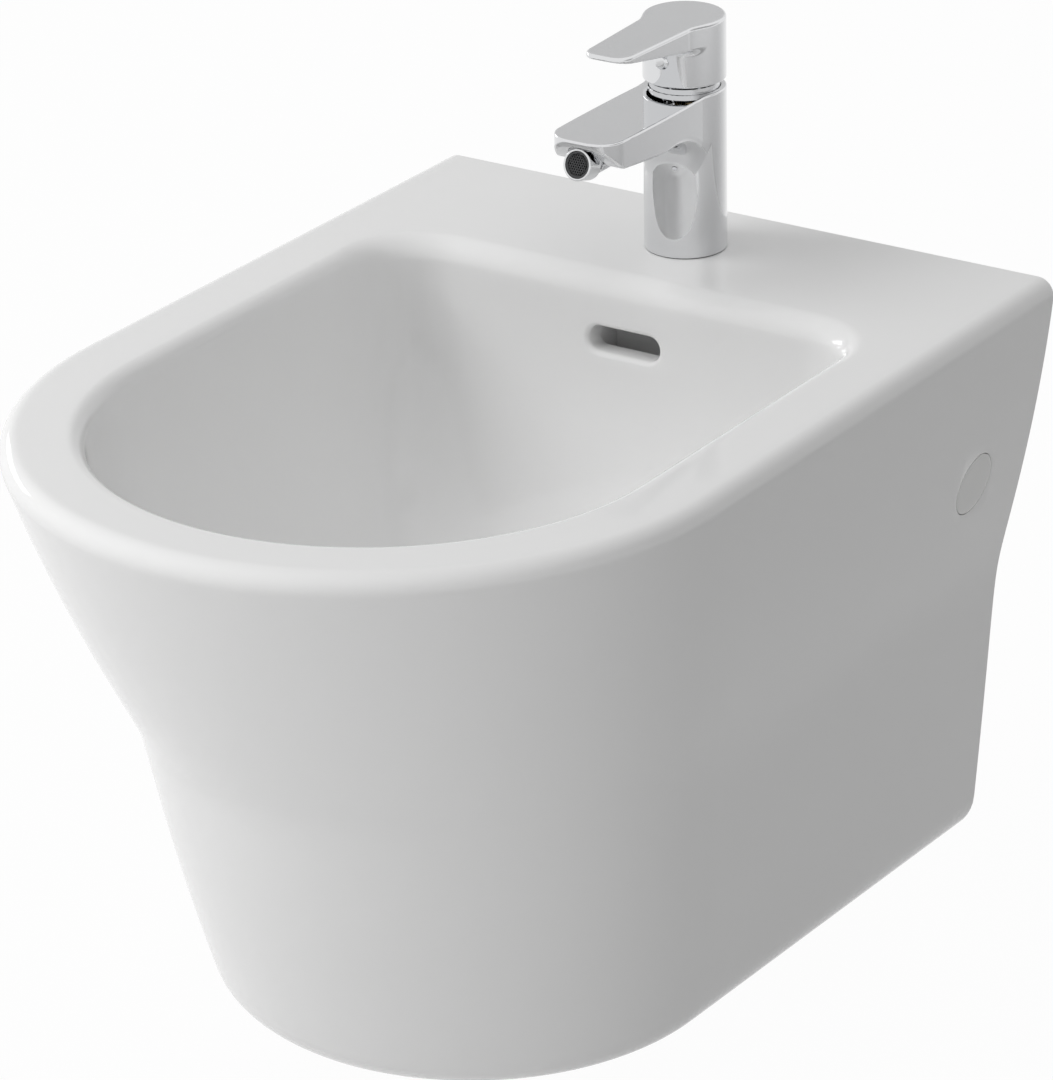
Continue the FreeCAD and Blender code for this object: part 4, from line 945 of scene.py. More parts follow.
    def lip_rows(self):
        """Rows of the round between the deck and the bowl's wall."""
        curve = self.bowl_curve
        deep = int(np.argmax(curve[:, 0] > LIP_DEPTH))
        table_steps = np.linspace(0, deep, LIP_TABLE).astype(int)
        table_drops = curve[table_steps, 0]
        table = np.array([loop_outline(*curve[step, 1:], curve[step, 0]) for step in table_steps])
        edge = table[0]
        wrapped = np.concatenate([edge[-1:], edge, edge[:1]])
        outward = -inward_of(wrapped)[1:-1]
        rear = smooth_step((edge[:, 1] + REAR_LIP_END) / REAR_LIP_BLEND)
        radius = self.sizes["lip_round"] + (self.sizes["rear_lip_round"] - self.sizes["lip_round"]) * rear
        down = unit(table[LEAN_ROW] - edge)
        reach, handle = bend(-outward, down, radius)
        drops = reach[:, 0] * np.abs(down[:, 2])
        upper = np.searchsorted(table_drops, drops)
        share = ((drops - table_drops[upper - 1]) / (table_drops[upper] - table_drops[upper - 1]))[:, None]
        columns = np.arange(RING_COLUMNS)
        end = table[upper - 1, columns] * (1.0 - share) + table[upper, columns] * share
        slope = unit(table[upper, columns] - table[upper - 1, columns])
        start = edge + outward * reach
        return bezier_rows(start, start - outward * handle, end - slope * handle, end, steps=12)

    def build_bowl(self, ring):
        """Bowl from its lip to the waste, with the overflow slot in its rear wall."""
        self.sheet.wall = self.sizes["bowl_wall"]
        curve = self.bowl_curve
        slot_drop = self.sizes["slot_drop"]
        wall_drops = np.arange(slot_drop - 4 * ROW_STEP, BOWL_TURN, ROW_STEP)
        turn = int(np.argmax(curve[:, 0] > BOWL_TURN))
        rising = np.maximum.accumulate(curve[: turn + 1, 0])
        steps = list(np.searchsorted(rising, wall_drops))
        run = np.concatenate([[0.0], np.cumsum(np.linalg.norm(np.diff(curve[turn:, :2], axis=0), axis=1))])
        steps += [turn + int(np.argmax(run >= gone)) for gone in np.arange(0.0, run[-1], FLOOR_STEP)]
        steps.append(len(curve) - 1)
        middle = int(np.argmin(np.abs(wall_drops - slot_drop)))
        skip = set(range(SLOT_COLUMNS)) | set(range(RING_COLUMNS - SLOT_COLUMNS, RING_COLUMNS))
        rows = []
        for number, step in enumerate(steps):
            drop = min(curve[step, 0], BOWL_DROP)
            after = self.sheet.row(loop_outline(*curve[step, 1:], drop))
            inside = middle - SLOT_ROWS < number <= middle + SLOT_ROWS
            self.sheet.strip(ring, after, True, skip if inside else ())
            rows.append(after)
            ring = after
        near = rows[middle - SLOT_ROWS : middle + SLOT_ROWS + 1]
        block = [row[-SLOT_COLUMNS:] + row[: SLOT_COLUMNS + 1] for row in near]
        self.overflow_slot(block_loop(block, 0, 2 * SLOT_COLUMNS), slot_drop)
        return ring

    def overflow_slot(self, loop, slot_drop):
        """Round-ended slot with a soft edge and a short way in."""
        upper = self.bowl_curve[: CURVE_POINTS // 2]
        round_end = self.sizes["slot_height"] / 2
        base = self.sizes["slot_width"] / 2 - round_end
        edge = self.sizes["slot_round"]
        points = np.array([self.sheet.points[index] for index in loop])
        across = points[:, 0]
        down = RIM_Z - points[:, 2] - slot_drop
        near = np.clip(across, -base, base)
        away = unit(np.stack([across - near, down], axis=1))
        angles = np.linspace(0.0, math.pi / 2, 7)
        rings = [(round_end + edge * (1 - math.sin(angle)), edge * (1 - math.cos(angle))) for angle in angles]
        rings += [(round_end, depth) for depth in SLOT_DEPTHS]
        before = loop
        self.sheet.wall = HOLE_WALL
        for size, depth in rings:
            x = near + away[:, 0] * size
            drop = slot_drop + away[:, 1] * size
            rear = np.interp(drop, upper[:, 0], upper[:, 2])
            after = self.sheet.row(np.stack([x, -rear + depth, RIM_Z - drop], axis=1))
            self.sheet.strip(before, after, True)
            before = after
        self.sheet.wall = self.sizes["bowl_wall"]

    def build_waste_seat(self, ring):
        """Recess and hole that take the waste."""
        for radius, drop in WASTE_SEAT:
            after = self.sheet.row(loop_outline(radius, -WASTE_Y - radius, radius - WASTE_Y, radius, drop))
            self.sheet.strip(ring, after, True)
            ring = after

    def build(self):
        """The whole skin, from the foot to the waste."""
        sides = self.build_foot()
        sides, last = self.build_sides(sides)
        ring = self.build_deck(sides, last)
        ring = self.build_bowl(ring)
        self.build_waste_seat(ring)
        return self.sheet


def block_loop(rows, first, last):
    """Indices round the edge of a block of a grid of rows."""
    loop = [rows[0][column] for column in range(first, last)]
    loop += [row[last] for row in rows[:-1]]
    loop += [rows[-1][column] for column in range(last, first, -1)]
    loop += [row[first] for row in rows[:0:-1]]
    return loop


def ceramic_walls():
    """Hollow duct behind the overflow and the boss under the bowl."""
    sheet = Sheet()
    foot = RIM_Z - DUCT_FOOT
    top = RIM_Z - DUCT_TOP
    for low, high in ((-DUCT_OUTSIDE, -DUCT_INSIDE), (DUCT_INSIDE, DUCT_OUTSIDE)):
        sheet.block((low, DUCT_SIDES[0], foot + DUCT_LAP), (high, DUCT_SIDES[1], top - DUCT_LAP))
    half = DUCT_OUTSIDE + DUCT_LAP
    sheet.block((-half, DUCT_REAR[0], foot), (half, DUCT_REAR[1], top))
    half += DUCT_LAP
    sheet.block((-half, DUCT_WAY[0], foot - DUCT_LAP), (half, DUCT_WAY[1], foot + WAY_HEIGHT))
    corners = [
        (BOSS_INSIDE, -BOSS_FOOT, 0.0),
        (BOSS_OUTSIDE, -BOSS_FOOT, 2.0),
        (BOSS_OUTSIDE, -BOSS_TOP, 0.0),
        (BOSS_INSIDE, -BOSS_TOP, 0.0),
    ]
    sheet.join(*lathe(soften(corners), (0.0, WASTE_Y, RIM_Z), UPWARD, 96, True))
    return sheet


def thicken(piece, walls):
    """Give a skin its wall, point by point, and keep it in front of the wall of the room."""
    deepest = max(walls)
    group = piece.vertex_groups.new(name="wall")
    for number, wall in enumerate(walls):
        group.add([number], wall / deepest, "REPLACE")
    solid = piece.modifiers.new("wall", "SOLIDIFY")
    solid.thickness = deepest * MM
    solid.offset = -1.0
    solid.vertex_group = group.name
    apply_modifiers(piece)
    places = np.empty(3 * len(piece.data.vertices))
    piece.data.vertices.foreach_get("co", places)
    places[1::3] = np.minimum(places[1::3], 0.0)
    piece.data.vertices.foreach_set("co", places)
    piece.data.update()


class BIDET_OT_ceramic(Operator):
    """Build the glazed ceramic: shell, rim, bowl, overflow and waste seat"""

    bl_idname = "bidet.ceramic"
    bl_label = "Ceramic"

    def execute(self, context):
        settings = context.scene.bidet.bowl
        sizes = in_mm(settings)
        skin = Ceramic(sizes).build()
        glaze = glaze_finish(settings)
        shell = new_piece("ceramic_shell", skin.points, skin.faces, glaze, "bidet", ["bidet_body"])
        thicken(shell, skin.walls)
        shell.data.set_sharp_from_angle(angle=SHARP_ANGLE)
        walls = ceramic_walls()
        duct = new_piece("overflow_duct", walls.points, walls.faces, glaze, "bidet", [])
        soft = duct.modifiers.new("edges", "BEVEL")
        soft.width = DUCT_ROUND * MM
        soft.segments = 4
        soft.limit_method = "ANGLE"
        apply_modifiers(duct)
        duct.data.set_sharp_from_angle(angle=SHARP_ANGLE)
        return {"FINISHED"}


class BIDET_OT_side_caps(Operator):
    """Build the two covers over the side fixings"""

    bl_idname = "bidet.side_caps"
    bl_label = "Side covers"

    def execute(self, context):
        settings = context.scene.bidet
        sizes = in_mm(settings.bowl)
        plastic = slot_finishes(settings)["cap_plastic"]
        for sign, label in ((1.0, "right"), (-1.0, "left")):
            self.cover(sign, label, sizes, plastic)
        return {"FINISHED"}

    def cover(self, sign, label, sizes, plastic):
        """Cover that follows the side of the shell, ring by ring from its middle."""
        radius = sizes["cap_radius"]
        face = radius - COVER_FACE[0]
        steps = [(share * face, COVER_FACE[1]) for share in np.linspace(0.0, 1.0, COVER_RINGS)]
        steps += [(radius - inset, depth) for inset, depth in COVER_EDGE]
        sheet = Sheet()
        rings = []
        for size, depth in steps:
            ring = []
            for angle in np.linspace(0.0, 2 * math.pi, COVER_SEGMENTS, endpoint=False):
                y = size * math.cos(angle) * sign - sizes["cap_setback"]
                point = side_point(RIM_Z + size * math.sin(angle), y, sign, sizes["waist_softness"])
                point[0] -= sign * depth
                ring.append(point)
            rings.append(sheet.row(ring) if rings else sheet.row(ring[:1]) * COVER_SEGMENTS)
        for before, after in zip(rings, rings[1:]):
            sheet.strip(before, after, True)
        sheet.faces.append(tuple(rings[-1][::-1]))
        faces = outward_faces(sheet.points, proper_faces(sheet.faces), np.array([sign, 0.0, 0.0]))
        name = f"side_cover_{label}"
        new_piece(name, sheet.points, faces, plastic, "bidet", [f"side_cap_{label}"])


# Chrome pieces as smooth skins of a distance field

# Spout: depth at its root, rise of its underside and where that ends before the tip, softness of that bend,
# height of its lip, and bulge of its sides.
SPOUT_DEPTH = 19.7
SPOUT_RISE = 4.3
SPOUT_RISE_END = 12.4
SPOUT_BEND = 8.0
SPOUT_LIP = 3.0
SPOUT_BULGE = 1.0

# Rounds of the spout: against the column, at its lip, along its lower edges, and how much more on the flare,
# with the start and length of that blend.
COLUMN_ROUND = 3.0
SPOUT_LIP_ROUND = 2.0
SPOUT_EDGE_ROUND = 1.2
FLARE_ROUND = 5.0
FLARE_START = 12.0
FLARE_BLEND = 40.0

# Seat of the nozzle's ball: place along the spout, radius of its boss and of its pocket, and their rounds.
SEAT_AT = 92.0
SEAT_BOSS = 7.5
SEAT_POCKET = 11.2
SEAT_BOSS_ROUND = 1.5
SEAT_POCKET_ROUND = 0.4

# Round of the column's foot, bore for the cartridge with its floor, and the two inlets.
COLUMN_FOOT_ROUND = 0.5
BORE = 19.35
BORE_FLOOR = 50.0
INLET_RADIUS = 5.0
INLET_SIDE = 8.0
INLET_BACK = 5.0
INLET_TOP = 10.8

# Handle: gap below its drum, height of its top and of the lever's underside above the deck, rise of that
# underside to the tip, and softness of its bend.
DRUM_GAP = 4.6
HANDLE_TOP = 131.2
LEVER_UNDER = 118.6
LEVER_RISE = 9.8
LEVER_BEND = 4.0

# Rounds of the handle: the drum's lower edge, the lever's lower edge, and where the lever meets the drum.
DRUM_ROUND = 0.8
BAR_ROUND = 0.9
BAR_MEET = 4.0

# Slope of the drum's cut-away foot and where it starts, and the hollow with the hub that stands in it.
CUT_SLOPE = 0.42
CUT_START = 9.0
HOLLOW = 20.5
HOLLOW_TOP = 122.0
HUB = 9.0
HUB_FOOT = 104.0

# Net for the skins: room round the piece, corners of a cell, number and longest share of a step of the pulls
# to the skin, the least slope that they take, and a length that counts as none.
NET_ROOM = 1.3
CELL_CORNERS = [(i, j, k) for i in (0, 1) for j in (0, 1) for k in (0, 1)]
PULLS = 6
LONGEST_PULL = 0.4
LEAST_SLOPE = 0.05
TINY = 1e-9


def joined(first, second, radius):
    """Union of two fields with a concave round where they meet."""
    deep = np.hypot(np.maximum(radius - first, 0.0), np.maximum(radius - second, 0.0))
    return np.maximum(radius, np.minimum(first, second)) - deep


def within(first, second, radius):
    """Common part of two fields with a round edge where they meet."""
    out = np.hypot(np.maximum(radius + first, 0.0), np.maximum(radius + second, 0.0))
    return np.minimum(-radius, np.maximum(first, second)) + out


def rounded_plan(x, forward, half, reach, corner):
    """Field of a straight bar in plan with round corners at its tip."""
    across = np.abs(x) - (half - corner)
    along = np.abs(forward - reach / 2) - (reach / 2 - corner)
    outside = np.hypot(np.maximum(across, 0.0), np.maximum(along, 0.0))
    return outside + np.minimum(np.maximum(across, along), 0.0) - corner


def soft_ramp(value, width):
    """Zero before zero and the value itself after it, with a soft bend."""
    return (value + np.hypot(value, width) - width) / 2


def field_slope(field, points, step=0.04):
    """Slope of a field at each point."""
    slope = np.empty_like(points)
    for axis in range(3):
        shift = np.zeros(3)
        shift[axis] = step
        ahead = field(*(points + shift).T)
        behind = field(*(points - shift).T)
        slope[:, axis] = (ahead - behind) / (2 * step)
    return slope


def cell_points(values, cells):
    """Mean place, in steps of the net, of the crossings on the edges of each cell."""
    total = np.zeros((len(cells), 3))
    hits = np.zeros(len(cells))
    for axis in range(3):
        for corner in CELL_CORNERS:
            if corner[axis]:
                continue
            start = cells + np.array(corner)
            end = start.copy()
            end[:, axis] += 1
            first = values[tuple(start.T)]
            second = values[tuple(end.T)]
            crossed = (first < 0.0) != (second < 0.0)
            share = np.where(crossed, first / np.where(crossed, first - second, 1.0), 0.0)
            point = start.astype(float)
            point[:, axis] += share
            total[crossed] += point[crossed]
            hits += crossed
    return total / hits[:, None]


def cell_faces(inside, number):
    """Faces between the four cells round each edge of the net that the skin crosses."""
    size = inside.shape
    faces = []
    for axis in range(3):
        second, third = (axis + 1) % 3, (axis + 2) % 3
        ahead = [slice(None)] * 3
        behind = [slice(None)] * 3
        ahead[axis] = slice(1, None)
        behind[axis] = slice(None, -1)
        first_in = inside[tuple(behind)]
        at = np.argwhere(first_in != inside[tuple(ahead)])
        at = at[(at[:, second] > 0) & (at[:, third] > 0)]
        at = at[(at[:, second] < size[second] - 1) & (at[:, third] < size[third] - 1)]
        ring = []
        for back, side in ((1, 1), (0, 1), (0, 0), (1, 0)):
            cell = at.copy()
            cell[:, second] -= back
            cell[:, third] -= side
            ring.append(number[tuple(cell.T)])
        quads = np.stack(ring, axis=1)
        facing = first_in[tuple(at.T)]
        quads[~facing] = quads[~facing][:, ::-1]
        faces.append(quads)
    return np.concatenate(faces).tolist()


def pull_to_skin(field, points, step):
    """Points moved, a little at a time, to where a field is zero."""
    for _ in range(PULLS):
        value = field(*points.T)
        slope = field_slope(field, points)
        move = slope * (value / np.maximum((slope**2).sum(axis=1), LEAST_SLOPE))[:, None]
        far = np.linalg.norm(move, axis=1, keepdims=True)
        points = points - move * np.minimum(1.0, LONGEST_PULL * step / np.maximum(far, TINY))
    return points


def skin_of(field, low, high, step):
    """Points, faces and normals of the surface where a field is zero."""
    axes = [np.arange(start, end + step, step) for start, end in zip(low, high)]
    values = field(*np.meshgrid(*axes, indexing="ij"))
    inside = values < 0.0
    size = np.array(values.shape)
    total = np.zeros(size - 1, dtype=np.int8)
    for i, j, k in CELL_CORNERS:
        total += inside[i : size[0] - 1 + i, j : size[1] - 1 + j, k : size[2] - 1 + k]
    active = (total > 0) & (total < len(CELL_CORNERS))
    cells = np.argwhere(active)
    number = np.full(active.shape, -1, dtype=np.int64)
    number[active] = np.arange(len(cells))
    points = pull_to_skin(field, np.array(low) + cell_points(values, cells) * step, step)
    normals = field_slope(field, points)
    normals /= np.maximum(np.linalg.norm(normals, axis=1, keepdims=True), TINY)
    return points, cell_faces(inside, number), normals


def skin_piece(name, field, step, material, body, node):
    """Plated piece with the skin of a field, in place of a CAD node."""
    low, high = box_in_mm(node)
    points, faces, normals = skin_of(field, low - NET_ROOM, high + NET_ROOM, step)
    new_piece(name, points, faces, material, body, [node], normals)


def mixer_field(sizes):
    """Field of the mixer body: column, flared spout, nozzle seat and the space for the cartridge."""
    reach = sizes["spout_reach"]
    top = sizes["body_top"]
    column = sizes["column"]
    horn = sizes["horn"]
    root = top - SPOUT_DEPTH
    flare = column + horn
    rise = SPOUT_RISE / (reach - SPOUT_RISE_END - flare)
    nozzle_z = NOZZLE_AT[2] - RIM_Z

    def field(x, y, z):
        forward = TAP_Y - y
        height = z - RIM_Z
        across = np.hypot(x, forward)
        pillar = across - column
        bulge = SPOUT_BULGE * np.maximum(0.0, 1.0 - ((forward - reach / 2) / (reach / 2)) ** 2)
        plan = rounded_plan(x, forward, sizes["spout_half"] + bulge, reach, sizes["spout_corner"])
        side = joined(pillar, plan, COLUMN_ROUND)
        level = height - rise * soft_ramp(forward - flare, SPOUT_BEND)
        under = horn - np.hypot(np.minimum(across - flare, 0.0), np.maximum(level - (root - horn), 0.0))
        lip = ((forward - reach) - (height - (top - SPOUT_LIP))) / math.sqrt(2.0)
        under = within(under, lip, SPOUT_LIP_ROUND)
        near = smooth_step((flare + FLARE_START - forward) / FLARE_BLEND)
        spout = within(side, under, SPOUT_EDGE_ROUND + FLARE_ROUND * near)
        from_seat = np.hypot(x, height - nozzle_z)
        boss = np.maximum(from_seat - SEAT_BOSS, np.maximum(forward - SEAT_AT, -forward))
        body = joined(np.minimum(pillar, spout), boss, SEAT_BOSS_ROUND)
        body = within(body, height - top, sizes["edge"])
        body = within(body, sizes["body_foot"] - height, COLUMN_FOOT_ROUND)
        pocket = np.maximum(from_seat - SEAT_POCKET, SEAT_AT - forward)
        body = within(body, -pocket, SEAT_POCKET_ROUND)
        bore = np.maximum(across - BORE, BORE_FLOOR - height)
        body = np.maximum(body, -bore)
        for sign in (1.0, -1.0):
            from_inlet = np.hypot(x - sign * INLET_SIDE, forward + INLET_BACK)
            inlet = np.maximum(from_inlet - INLET_RADIUS, height - INLET_TOP)
            body = np.maximum(body, -inlet)
        return body

    return field


def lever_field(sizes):
    """Field of the handle: drum with a cut-away foot, flat lever, and a hollow with a hub below."""
    reach = sizes["lever_reach"]
    column = sizes["column"]
    slope = sizes["lever_drop"] / (reach + column)
    tilt = math.hypot(1.0, slope)
    foot = sizes["body_top"] + DRUM_GAP
    under_rise = LEVER_RISE / (reach - column)

    def field(x, y, z):
        forward = TAP_Y - y
        height = z - RIM_Z
        across = np.hypot(x, forward)
        cut = foot - height - CUT_SLOPE * (forward + CUT_START)
        drum = within(across - column, np.maximum(foot - height, cut), DRUM_ROUND)
        along = np.clip((forward - column) / (reach - column), 0.0, 1.0)
        half = sizes["lever_half"] - sizes["lever_taper"] * along
        plan = rounded_plan(x, forward, half, reach, sizes["lever_corner"])
        under = LEVER_UNDER + under_rise * soft_ramp(forward - column, LEVER_BEND) - height
        body = joined(drum, within(plan, under, BAR_ROUND), BAR_MEET)
        top = (height - HANDLE_TOP + slope * (forward + column)) / tilt
        body = within(body, top, sizes["lever_edge"])
        hub = np.maximum(across - HUB, HUB_FOOT - height)
        hollow = np.maximum(np.maximum(across - HOLLOW, height - HOLLOW_TOP), -hub)
        return np.maximum(body, -hollow)

    return field


class BIDET_OT_mixer_body(Operator):
    """Build the chrome column with its flared spout"""

    bl_idname = "bidet.mixer_body"
    bl_label = "Mixer body"

    def execute(self, context):
        settings = context.scene.bidet.mixer
        sizes = in_mm(settings)
        chrome = chrome_finish(settings)
        skin_piece("chrome_mixer", mixer_field(sizes), sizes["net"], chrome, "bidet", "mixer_body")
        return {"FINISHED"}


class BIDET_OT_lever(Operator):
    """Build the chrome lever and the bead on its front"""

    bl_idname = "bidet.lever"
    bl_label = "Lever"

    def execute(self, context):
        settings = context.scene.bidet.mixer
        sizes = in_mm(settings)
        chrome = chrome_finish(settings)
        skin_piece("chrome_lever", lever_field(sizes), sizes["net"], chrome, "lever", "lever_handle")
        low, high = box_in_mm("index_plug")
        radius = (high[2] - low[2]) / 2
        front = TAP_Y - sizes["column"]
        proud = front - low[1]
        root = -1.2
        corners = [
            (0.0, proud, 0.0),
            (radius * 0.72, proud, 1.6),
            (radius, proud * 0.35, 0.4),
            (radius, root, 0.0),
            (0.0, root, 0.0),
        ]
        origin = (0.0, front, (low[2] + high[2]) / 2)
        turned_piece("index_bead", corners, origin, FORWARD, 64, chrome, "lever", "index_plug")
        return {"FINISHED"}


# Outlines about the nozzle's axis, as distance from it, place along it and radius of each corner.
SLEEVE_CORNERS = (
    (7.2, 5.0, 0.0),
    (7.2, 8.0, 0.35),
    (8.5, 8.0, 0.55),
    (8.5, -2.7, 0.9),
    (5.5, -2.7, 0.4),
    (5.9, 0.4, 0.0),
)
CUP_CORNERS = (
    (0.0, 6.1, 0.0),
    (5.9, 6.1, 0.0),
    (6.0, 7.5, 0.2),
    (7.05, 7.5, 0.25),
    (7.05, 5.7, 0.0),
    (0.0, 5.7, 0.0),
)

# Honeycomb in the nozzle: pitch, cells to each side, radius that it fills, and the rings of a cell, each with
# its size in pitches and its place along the nozzle.
COMB_PITCH = 1.45
COMB_CELLS = range(-5, 6)
COMB_RADIUS = 5.6
COMB_RINGS = ((0.575, 7.5), (0.43, 7.5), (0.39, 6.1), (0.575, 6.1))
HEXAGON = [(math.cos(math.radians(turn)), math.sin(math.radians(turn))) for turn in range(30, 390, 60)]


class BIDET_OT_nozzle(Operator):
    """Build the swivelling nozzle and its honeycomb insert"""

    bl_idname = "bidet.nozzle"
    bl_label = "Nozzle"

    def execute(self, context):
        settings = context.scene.bidet
        low, high = box_in_mm("aerator_insert")
        axis = unit((low + high) / 2 - NOZZLE_AT)
        points, faces = lathe(soften(SLEEVE_CORNERS), NOZZLE_AT, axis, 96, True)
        to_axis = NOZZLE_AT - np.mean([points[index] for index in faces[0]], axis=0)
        faces = outward_faces(points, faces, to_axis)
        chrome = chrome_finish(settings.mixer)
        new_piece("nozzle_sleeve", points, faces, chrome, "nozzle", ["nozzle_barrel"])
        self.comb(axis, slot_finishes(settings)["dark_plastic"])
        return {"FINISHED"}

    def comb(self, axis, material):
        """Honeycomb of separate six-sided rings in a shallow cup."""
        side = np.array([1.0, 0.0, 0.0])
        other = np.cross(axis, side)
        sheet = Sheet()
        for row in COMB_CELLS:
            for column in COMB_CELLS:
                across = COMB_PITCH * (column + 0.5 * (row % 2))
                up = COMB_PITCH * row * math.sqrt(3.0) / 2
                if math.hypot(across, up) > COMB_RADIUS:
                    continue
                centre = NOZZLE_AT + side * across + other * up
                rings = []
                for size, along in COMB_RINGS:
                    reach = COMB_PITCH * size
                    ring = [centre + axis * along + reach * (side * c + other * s) for c, s in HEXAGON]
                    rings.append(sheet.row(ring))
                for before, after in zip(rings, rings[1:] + rings[:1]):
                    sheet.strip(before, after, True)
        sheet.faces = outward_faces(sheet.points, sheet.faces, axis)
        points, faces = lathe(soften(CUP_CORNERS), NOZZLE_AT, axis, 72, False)
        sheet.join(points, outward_faces(points, faces, axis))
        nodes = ["aerator_insert"]
        new_piece("nozzle_grid", sheet.points, sheet.faces, material, "nozzle", nodes)


# Spring below the plug: wire, turns, steps of a turn, and sides of the wire.
SPRING_WIRE = 1.0
SPRING_TURNS = 5
TURN_STEPS = 32
WIRE_SIDES = 12


class BIDET_OT_plug(Operator):
    """Build the domed plug of the waste and the spring below it"""

    bl_idname = "bidet.plug"
    bl_label = "Plug"

    def execute(self, context):
        chrome = chrome_finish(context.scene.bidet.mixer)
        low, high = box_in_mm("plug_cap")
        radius = (high[0] - low[0]) / 2
        tall = high[2] - low[2]
        corners = [
            (0.0, tall, 0.0),
            (radius * 0.55, tall * 0.97, 30.0),
            (radius * 0.86, tall * 0.84, 8.0),
            (radius, tall * 0.55, 1.6),
            (radius, 0.0, 0.5),
            (0.0, 0.0, 0.0),
        ]
        origin = (0.0, WASTE_Y, low[2])
        turned_piece("plug_dome", corners, origin, UPWARD, 128, chrome, "plug", "plug_cap")
        self.spring(slot_finishes(context.scene.bidet)["zinc_steel"])
        return {"FINISHED"}

    def spring(self, zinc):
        """Coil below the plug, which keeps its shape when the plug goes down."""
        low, high = box_in_mm("plug_spring")
        tall = high[2] - low[2]
        wire = SPRING_WIRE / 2
        radius = (high[0] - low[0]) / 2 - wire
        middle = np.array([0.0, WASTE_Y, low[2] + wire])
        above = np.array(UPWARD)
        sheet = Sheet()
        rows = []
        for share in np.linspace(0.0, 1.0, TURN_STEPS * SPRING_TURNS + 1):
            angle = 2 * math.pi * SPRING_TURNS * share
            outward = np.array([math.cos(angle), math.sin(angle), 0.0])
            centre = middle + radius * outward + share * (tall - SPRING_WIRE) * above
            ring = []
            for turn in np.linspace(0.0, 2 * math.pi, WIRE_SIDES, endpoint=False):
                ring.append(centre + wire * (math.cos(turn) * outward + math.sin(turn) * above))
            rows.append(sheet.row(ring))
        for before, after in zip(rows, rows[1:]):
            sheet.strip(before, after, True)
        sheet.faces.append(tuple(rows[0]))
        sheet.faces.append(tuple(rows[-1][::-1]))
        coil = new_piece("plug_coil", sheet.points, sheet.faces, zinc, "bidet", ["plug_spring"])
        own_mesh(coil)


# Brass pieces that are plated because they can be seen.
PLATED = ("nozzle_ball", "cartridge_nut")


class BIDET_OT_fittings(Operator):
    """Give each remaining piece the finish of its material slot"""

    bl_idname = "bidet.fittings"
    bl_label = "Fittings"

    def execute(self, context):
        finishes = slot_finishes(context.scene.bidet)
        for node in frame["nodes"].values():
            for place in node.material_slots:
                slot = place.material.name.split(".")[0]
                place.material = finishes["chrome" if node.name in PLATED else slot]
        return {"FINISHED"}


# Stage, in metres

# Middle of the bowl, which the lights and the upright cards face.
MIDDLE = (0.0, WASTE_Y * MM, 0.0)

# Lights: setting that holds the power, size, place, and whether the gloss mirrors it.
LIGHTS = (
    ("key", (2.0, 2.0), (-1.9, -1.6, 2.2), False),
    ("side", (1.4, 1.4), (-2.0, -0.9, 0.9), False),
    ("top", (2.0, 2.0), (0.7, -0.4, 2.3), False),
    ("front", (2.0, 0.5), (0.2, -3.1, -0.02), False),
    ("glint", (1.3, 0.4), (-2.5, 0.35, 0.75), True),
)

# Cards behind and beside the bidet that glow grey, as painted grey reflections in the chrome and glaze and a
# faint light of their own: glow level, size and place.
CARDS = (
    ("back_card", 0.52, (2.6, 2.2), (-0.85, 1.15, 0.85)),
    ("side_card", 0.22, (3.0, 1.6), (1.4, 0.1, 0.5)),
)

# Card on the floor that glows grey: a painted darker reflection in the chrome and glaze on the right, and a
# dimmer bounce from the floor there. Glow level, size, place in plan, and height above the floor.
FLOOR_CARD = 0.22
FLOOR_CARD_SIZE = (2.4, 5.0)
FLOOR_CARD_AT = (0.9, -0.1)
FLOOR_CARD_LIFT = 2 * MM

# Half the width of the floor.
HALF_FLOOR = 30.0

# Camera: place, heading, pitch and lean in radians, lens and sensor in millimetres, and how far it sees.
CAMERA_AT = (1.43999, -2.33942, 1.12907)
CAMERA_HEADING = 2.16642
CAMERA_PITCH = -0.41886
CAMERA_LEAN = -0.02201
CAMERA_LENS = 177.99
CAMERA_SENSOR = 36.0
CAMERA_RANGE = 100.0

WHITE = (1.0, 1.0, 1.0, 1.0)


def camera_white(tree, plain, white, share):
    """Mix a shader with plain white where the camera, gloss or glass looks at it."""
    path = add_node(tree, "ShaderNodeLightPath")
    seen = add_node(tree, "ShaderNodeMath", operation="MAXIMUM")
    either = add_node(tree, "ShaderNodeMath", operation="MAXIMUM")
    part = add_node(tree, "ShaderNodeMath", operation="MULTIPLY")
    part.inputs[1].default_value = share
    mix = add_node(tree, "ShaderNodeMixShader")
    tree.links.new(path.outputs["Is Camera Ray"], seen.inputs[0])
    tree.links.new(path.outputs["Is Glossy Ray"], seen.inputs[1])
    tree.links.new(seen.outputs[0], either.inputs[0])
    tree.links.new(path.outputs["Is Transmission Ray"], either.inputs[1])
    tree.links.new(either.outputs[0], part.inputs[0])
    tree.links.new(part.outputs[0], mix.inputs[0])
    tree.links.new(plain.outputs[0], mix.inputs[1])
    tree.links.new(white.outputs[0], mix.inputs[2])
    return mix


def aim(thing, place, target):
    """Put a light or a card in its place, facing a target."""
    thing.location = place
    thing.rotation_euler = (Vector(target) - Vector(place)).to_track_quat("-Z", "Y").to_euler()
    bpy.context.scene.collection.objects.link(thing)


def add_light(name, watts, size, place):
    """Soft rectangular light that faces the bowl."""
    light = bpy.data.lights.new(name, "AREA")
    light.energy = watts
    light.shape = "RECTANGLE"
    light.size, light.size_y = size
    lamp = bpy.data.objects.new(name, light)
    aim(lamp, place, MIDDLE)
    return lamp


def flat_mesh(name, wide, deep, level):
    """Rectangle about the origin, from its half width and half depth."""
    mesh = bpy.data.meshes.new(name)
    corners = [(-wide, -deep, level), (wide, -deep, level), (wide, deep, level), (-wide, deep, level)]
    mesh.from_pydata(corners, [], [(0, 1, 2, 3)])
    return mesh


